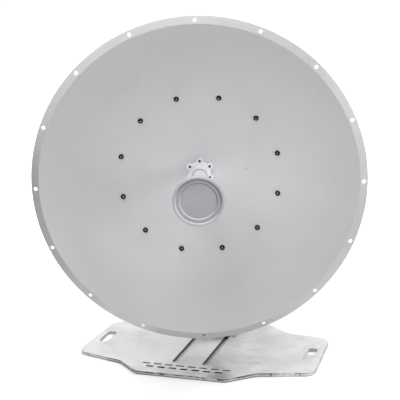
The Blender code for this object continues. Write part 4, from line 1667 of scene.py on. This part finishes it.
@dataclass
class Stand:
    """The flame-cut floor plate, the uprights in its slits and the pole.

    The outline's corners are x, y and rounding radius, and so are a hand slot's, slit's or vent's sizes:
    half width, half length and corner radius.
    """

    outline: tuple[Corner, ...] = (
        (-0.163, -0.216, 0.024),
        (0.163, -0.216, 0.024),
        (0.251, -0.155, 0.045),
        (0.436, -0.115, 0.032),
        (0.417, 0.137, 0.032),
        (0.262, 0.155, 0.045),
        (0.163, 0.216, 0.024),
        (-0.163, 0.216, 0.024),
        (-0.262, 0.155, 0.045),
        (-0.417, 0.137, 0.032),
        (-0.436, -0.115, 0.032),
        (-0.251, -0.155, 0.045),
    )
    hand_slot: tuple[float, float] = (0.384, 0.013)
    hand_slot_size: Corner = (0.018, 0.042, 0.012)
    slit: float = 0.0555
    slit_half: float = 0.0077
    slit_front: float = -0.131
    upright_front: float = 0.069
    upright_foot: float = 0.092
    upright_rear: float = 0.198
    upright_top: float = 0.300
    shoulder: float = 0.012
    vents: int = 7
    vent_pitch: float = 0.042
    vent_y: float = -0.176
    vent_size: Corner = (0.0145, 0.005, 0.0046)
    score_y: float = -0.1565
    score_depth: float = 0.0040
    score_size: Corner = (0.0145, 0.0038, 0.0032)
    end_zone: float = 0.30
    collars: tuple[float, float] = (0.110, 0.280)
    collar_sheet: float = 0.008
    pole_wall: float = 0.0032
    pole_top: float = 0.850
    wander: float = 0.00056
    wander_seed: int = 7

    def row(self, count: int) -> list[float]:
        """The x of each slot in an even row about the middle."""
        return [(k - (count - 1) / 2) * self.vent_pitch for k in range(count)]

    def openings(self) -> list[Outline]:
        """Hand slots, slits and the plain row of slots at the front.

        Returns:
            The outline of each opening.
        """
        rear = self.upright_rear + GAP
        middle, half = (self.slit_front + rear) / 2, (rear - self.slit_front) / 2
        holes: list[Outline] = []
        for side in Side:
            holes.append(slot_hole(side.value * self.hand_slot[0], self.hand_slot[1], *self.hand_slot_size))
            holes.append(slot_hole(side.value * self.slit, middle, self.slit_half, half, 0.003))
        return holes + [slot_hole(x, self.vent_y, *self.vent_size) for x in self.row(self.vents)]

    def build_plate(self) -> None:
        """The floor plate, with the torch's wander in its cut edges."""
        plate = Shape.sheet(self.outline, PLATE_THICKNESS, self.openings())
        mesh = plate.mesh
        walls = [line for line in mesh.edges if self._on_wall(line) and line.calc_length() > 0.008]
        bmesh.ops.subdivide_edges(mesh, edges=walls, cuts=9, use_grid_fill=False)
        upright = [line for line in mesh.edges if abs(line.verts[0].co.z - line.verts[1].co.z) > 0.01]
        bmesh.ops.subdivide_edges(mesh, edges=upright, cuts=2, use_grid_fill=False)
        noise.seed_set(self.wander_seed)
        for spot in mesh.verts:
            if spot.co.z < PLATE_THICKNESS - 0.001:
                push = noise.noise_vector(spot.co * 260)
                spot.co.x += push.x * self.wander
                spot.co.y += push.y * self.wander
        plate.soften(0.0007, 2, 50).carve(self.scored_row()).tint(1, self._is_upright)
        # Index 3 is painted shade in the slits and dashes, and index 4 is painted light on one hand slot
        # wall.
        for index, test in enumerate((self._in_hand_slot, self._in_painted_shade, self._lit_slot_wall, self._at_an_end), 2):
            plate.tint(index, test)
        steels = (PLATE_STEEL, CUT_EDGE, CUT_WALL, SLIT_WALL_PAINTED_SHADE, SLOT_WALL_PAINTED_LIGHT, END_EDGE)
        plate.place(TO_PLATE).piece("floor_plate", Body.STAND, *steels, stands_for="base_plate")

    def scored_row(self) -> Shape:
        """A row of shallow dashes scored behind the slots, between them.

        Returns:
            The dashes as one cutting shape.
        """
        low = PLATE_THICKNESS - self.score_depth
        dash = Shape.sheet(slot_hole(0.0, self.score_y, *self.score_size), 0.01)
        return dash.repeated([shifted(x, 0, low) for x in self.row(self.vents + 1)])

    def build_slit_floor_shade(self) -> None:
        """A thin grey sheet in each slit in front of the upright's tab: painted shade for the floor seen
        through the slit.
        """
        middle = (self.slit_front + self.upright_front) / 2
        half = (self.upright_front - self.slit_front) / 2 - 0.001
        beds = Shape()
        for side in Side:
            outline = slot_hole(side.value * self.slit, middle, self.slit_half - 0.0006, half, 0.003)
            beds.join(Shape.sheet(outline, 0.0010), shifted(z=0.0002))
        # painted shade: a grey sheet for the floor seen through each slit
        beds.place(TO_PLATE).piece("slit_floor_painted_shade", Body.STAND, SLIT_FLOOR_PAINTED_SHADE)

    @staticmethod
    def _is_upright(face: Face) -> bool:
        """Whether a face is part of a cut wall."""
        return abs(face.normal.z) < 0.5

    def _in_hand_slot(self, face: Face) -> bool:
        """Whether a face is part of a wall inside a hand slot."""
        return abs(face.calc_center_median().x) > self.end_zone and self._in_opening(face)

    def _lit_slot_wall(self, face: Face) -> bool:
        """Whether a face is on the inner long wall of the right hand slot, which is painted light."""
        inner = self.hand_slot[0] - 0.014
        return self.end_zone < face.calc_center_median().x < inner and self._in_opening(face)

    def _at_an_end(self, face: Face) -> bool:
        """Whether a face is on the outline's wall at the plate's left or right end."""
        far = abs(face.calc_center_median().x) > self.end_zone
        return far and self._is_upright(face) and not self._in_opening(face)

    def _in_painted_shade(self, face: Face) -> bool:
        """Whether a face lies inside a slit or a scored dash.

        Args:
            face: a face of the plate.

        Returns:
            Whether it takes the dark painted shade.
        """
        spot = face.calc_center_median()
        if abs(spot.x) > self.end_zone:
            return False
        scored = PLATE_THICKNESS - self.score_depth - 0.0002 < spot.z < PLATE_THICKNESS - 0.0001
        if abs(spot.y - self.score_y) < 0.006 and scored:
            return True
        return spot.y > self.vent_y + 0.02 and self._in_opening(face)

    def _in_opening(self, face: Face) -> bool:
        """Whether a face is part of a wall inside one of the plate's openings.

        Args:
            face: a face of the plate.

        Returns:
            Whether it is in an opening.
        """
        spot, edge = face.calc_center_median(), 0.002
        for hole in self.openings() if self._is_upright(face) else ():
            xs, ys, _ = zip(*hole)
            if min(xs) - edge < spot.x < max(xs) + edge and min(ys) - edge < spot.y < max(ys) + edge:
                return True
        return False

    @classmethod
    def _on_wall(cls, line: bmesh.types.BMEdge) -> bool:
        """Whether an edge runs round the top or underside of a cut wall."""
        level = abs(line.verts[0].co.z - line.verts[1].co.z) < 1e-6
        return level and any(cls._is_upright(face) for face in line.link_faces)

    def build_upright(self, side: Side) -> None:
        """One upright, with its tab in the slit and its shoulder on the plate.

        Args:
            side: which of the two.
        """
        front, rear, top = self.upright_front, self.upright_rear, self.upright_top
        ledge, base = PLATE_THICKNESS + GAP, 0.0005
        outline = [(self.upright_foot, base, 0.001), (rear, base, 0.001), (rear, ledge, 0.0)]
        outline += [(rear + self.shoulder, ledge, 0.001), (rear + self.shoulder, 0.10, 0.02)]
        outline += [(rear - 0.002, top, 0.012), (PLATE_CENTRE - 0.054, top, 0.012)]
        outline += [(front, 0.12, 0.03), (front, 0.045, 0.03)]
        plate = Shape.sheet(outline, PLATE_THICKNESS, steps=6).soften(0.0009, 2, 40)
        plate.place(TO_PLATE @ shifted(side.value * self.slit - PLATE_THICKNESS / 2) @ ALONG_X)
        plate.piece(f"upright_{side.word}", Body.STAND, BLACK_COAT, stands_for=f"gusset_{side.word}")

    def build_collar(self, word: str, height: float) -> None:
        """A cross plate between the uprights, bored for the pole.

        Args:
            word: the collar's place in its name.
            height: its underside.
        """
        inside = self.slit - PLATE_THICKNESS / 2 - GAP
        outline = slot_hole(0, -0.002, inside, 0.050, 0.001)
        plate = Shape.sheet(outline, self.collar_sheet, [round_hole(POLE + 0.0006)], 20)
        plate.soften(0.0007, 2, 40).place(TO_STAND @ shifted(z=height))
        plate.piece(f"collar_{word}", Body.STAND, BLACK_COAT, stands_for=f"pole_collar_{word}")

    @staticmethod
    def bead(length: float, radius: float = 0.0038) -> Shape:
        """A rippled weld bead along +Z.

        Args:
            length: the bead's length.
            radius: its radius.

        Returns:
            The bead.
        """
        count = round(length / 0.0028)
        profile = [(0.0, 0.0), (radius * 0.6, 0.0004)]
        for k in range(count):
            profile += [(radius, length * (k + 0.25) / count), (radius * 0.90, length * (k + 0.90) / count)]
        return Shape.lathe([*profile, (radius * 0.6, length - 0.0004), (0.0, length)], 16)

    @staticmethod
    def ring_bead() -> Shape:
        """A rippled bead round the pole.

        Returns:
            The bead.
        """
        section = ((0.0, -0.0030), (0.0026, -0.0018), (0.0036, 0.0), (0.0026, 0.0018), (0.0, 0.0030))
        seat = shifted(POLE + 0.0006, 0, 0.0008) @ turned(90, "X")
        return Shape.lathe(section, 10).repeated(around(90, 0, seat))

    def build_welds(self) -> None:
        """Beads along the uprights' feet and round the pole at each collar."""
        start = self.upright_foot + 0.002
        bead = self.bead(self.upright_rear - start - 0.004)
        beads = Shape()
        for side in Side:
            for face in Side:
                x = side.value * self.slit + face.value * (PLATE_THICKNESS / 2 + 0.0004)
                beads.join(bead, TO_PLATE @ shifted(x, start, PLATE_THICKNESS + 0.0012) @ turned(-90, "X"))
        for height in self.collars:
            beads.join(self.ring_bead(), shifted(z=height + self.collar_sheet))
        beads.piece("weld_beads", Body.STAND, WELD, crease=60)

    def build_pole(self) -> None:
        """The galvanised pole, with a domed plastic cap pressed in its top."""
        inner, top = POLE - self.pole_wall, self.pole_top
        tube = Shape.tube(inner, POLE, PLATE_THICKNESS + GAP, top, 128).soften(0.0006, 2, 40)
        tube.piece("pole_tube", Body.STAND, ZINC, stands_for="pole")
        profile = [(0.0, top - 0.018), (inner - 0.0008, top - 0.018), (inner - 0.0006, top + GAP)]
        profile += [(POLE, top + GAP), (POLE, top + 0.0030), (POLE - 0.0035, top + 0.0055)]
        cap = Shape.lathe([*profile, (POLE * 0.55, top + 0.0068), (0.0, top + 0.0070)])
        cap.soften(0.0006, 3, 30).piece("pole_plug", Body.STAND, SOFT_BLACK, stands_for="pole_cap")

    def build(self) -> None:
        """Build the stand."""
        self.build_plate()
        self.build_slit_floor_shade()
        for side in Side:
            self.build_upright(side)
        for word, height in zip(("lower", "upper"), self.collars):
            self.build_collar(word, height)
        self.build_welds()
        self.build_pole()


@dataclass(frozen=True)
class Lamp:
    """One square studio light that looks at the dish.

    Azimuth is in degrees from the front towards +X, height in degrees above the horizon, size and
    distance in metres, and power in watts.
    """

    name: str
    azimuth: float
    height: float
    size: float
    power: float
    distance: float = 3.4


@dataclass
class Studio:
    """Camera, floor and lights. The shaded floor spot is x, y and radius of a patch of painted shade on
    the floor, under the right hand slot.
    """

    focal_pixels: float = 1027.9
    image_pixels: float = 400.0
    sensor: float = 36.0
    eye: Corner = (0.1372, -3.4170, 1.5777)
    heading: tuple[float, float] = (-0.0455, 0.9990)
    pitch: float = 17.4
    roll: float = 6.0
    aim: Corner = (0, -0.30, 0.62)
    floor_size: float = 30.0
    shaded_floor_spot: Corner = (0.303, -0.268, 0.026)
    surround: float = 0.10
    lamps: tuple[Lamp, ...] = (
        Lamp("front_high", 0, 64, 1.9, 48),
        Lamp("left_high", -38, 52, 2.5, 33),
        Lamp("right_low", 52, 3, 1.4, 28),
        Lamp("rear_right", 110, 30, 1.0, 33, 3.2),
        Lamp("rear_top", 180, 80, 1.6, 131, 3.2),
    )

    def build_camera(self) -> None:
        """A camera at the photograph's place, with its downward pitch and slight roll."""
        pitch, roll = math.radians(self.pitch), math.radians(self.roll)
        ahead = Vector((*self.heading, 0)).normalized()
        forward = ahead * math.cos(pitch) - Vector((0, 0, math.sin(pitch)))
        right = forward.cross(Vector((0, 0, 1))).normalized()
        up = right.cross(forward)
        across = right * math.cos(roll) - up * math.sin(roll)
        upward = up * math.cos(roll) + right * math.sin(roll)
        data = bpy.data.cameras.new("camera")
        data.sensor_width = self.sensor
        data.lens = self.focal_pixels * self.sensor / self.image_pixels
        camera = bpy.data.objects.new("camera", data)
        turn = Matrix((across, upward, -forward)).transposed().to_4x4()
        camera.matrix_world = Matrix.Translation(self.eye) @ turn
        bpy.context.scene.collection.objects.link(camera)
        bpy.context.scene.camera = camera

    def floor_paper(self) -> Material:
        """Pale paper that glows white behind the antenna and in a band in front of it, with a spot of
        painted shade under the right hand slot.

        Returns:
            The floor's material.
        """
        graph = Graph("floor_white")
        across, depth, _ = graph.axes()
        tone = graph.blend(graph.grain(0.004, 3.0), (0.79, 0.79, 0.79), (0.81, 0.81, 0.81))
        band = depth.rise(-0.25, -0.50) * depth.rise(-1.40, -0.80)
        glow = graph.blend(band, (0.05, 0.05, 0.05), (0.36, 0.36, 0.36))
        glow = graph.blend(depth.rise(0.0, 2.0), glow, (1.0, 1.0, 1.0))
        x, y, radius = self.shaded_floor_spot
        # painted shade: a darker, unlit spot on the floor under the right hand slot
        dull = (((across - x) ** 2.0 + (depth - y) ** 2.0) / radius**2).rise(1.6, 0.2)
        return graph.finish(
            Base_Color=graph.blend(dull, tone, (0.55, 0.55, 0.54)),
            Roughness=0.9,
            Emission_Color=graph.blend(dull, glow, (0.0, 0.0, 0.0)),
            Emission_Strength=1.0,
        )

    def build_floor(self) -> None:
        """A wide flat floor just under the antenna."""
        shape = Shape()
        bmesh.ops.create_grid(shape.mesh, x_segments=1, y_segments=1, size=self.floor_size)
        floor = shape.as_object("floor")
        floor.data.materials.append(self.floor_paper())
        floor.location.z = -0.0005

    def build_light(self, lamp: Lamp) -> None:
        """A soft light that looks at the dish.

        Args:
            lamp: the light's place, size and power.
        """
        turn, rise = math.radians(lamp.azimuth), math.radians(lamp.height)
        away = Vector((math.sin(turn) * math.cos(rise), -math.cos(turn) * math.cos(rise), math.sin(rise)))
        data = bpy.data.lights.new(lamp.name, "AREA")
        data.size = lamp.size
        data.energy = lamp.power
        light = bpy.data.objects.new(lamp.name, data)
        light.location = Vector(self.aim) + away * lamp.distance
        light.rotation_euler = (-away).to_track_quat("-Z", "Y").to_euler()
        bpy.context.scene.collection.objects.link(light)

    def build_world(self) -> None:
        """Even white surroundings."""
        world = bpy.data.worlds.new("surround")
        world.use_nodes = True
        sky = world.node_tree.nodes["Background"]
        sky.inputs["Color"].default_value = (1.0, 1.0, 1.0, 1.0)
        sky.inputs["Strength"].default_value = self.surround
        bpy.context.scene.world = world

    def build(self) -> None:
        """Build the studio."""
        self.build_camera()
        self.build_floor()
        self.build_world()
        for lamp in self.lamps:
            self.build_light(lamp)
        bpy.context.scene.view_settings.view_transform = "Standard"


def main() -> None:
    """Build the antenna from front to back and down to the floor."""
    reflector = Reflector()
    bracket = TiltBracket()
    dish = (reflector, Feed(reflector), BackFrame(reflector), bracket)
    for part in (*dish, PoleClamp(bracket), Stand(), Studio()):
        LOG.info("building %s", type(part).__name__)
        part.build()


if __name__ == "__main__":
    main()
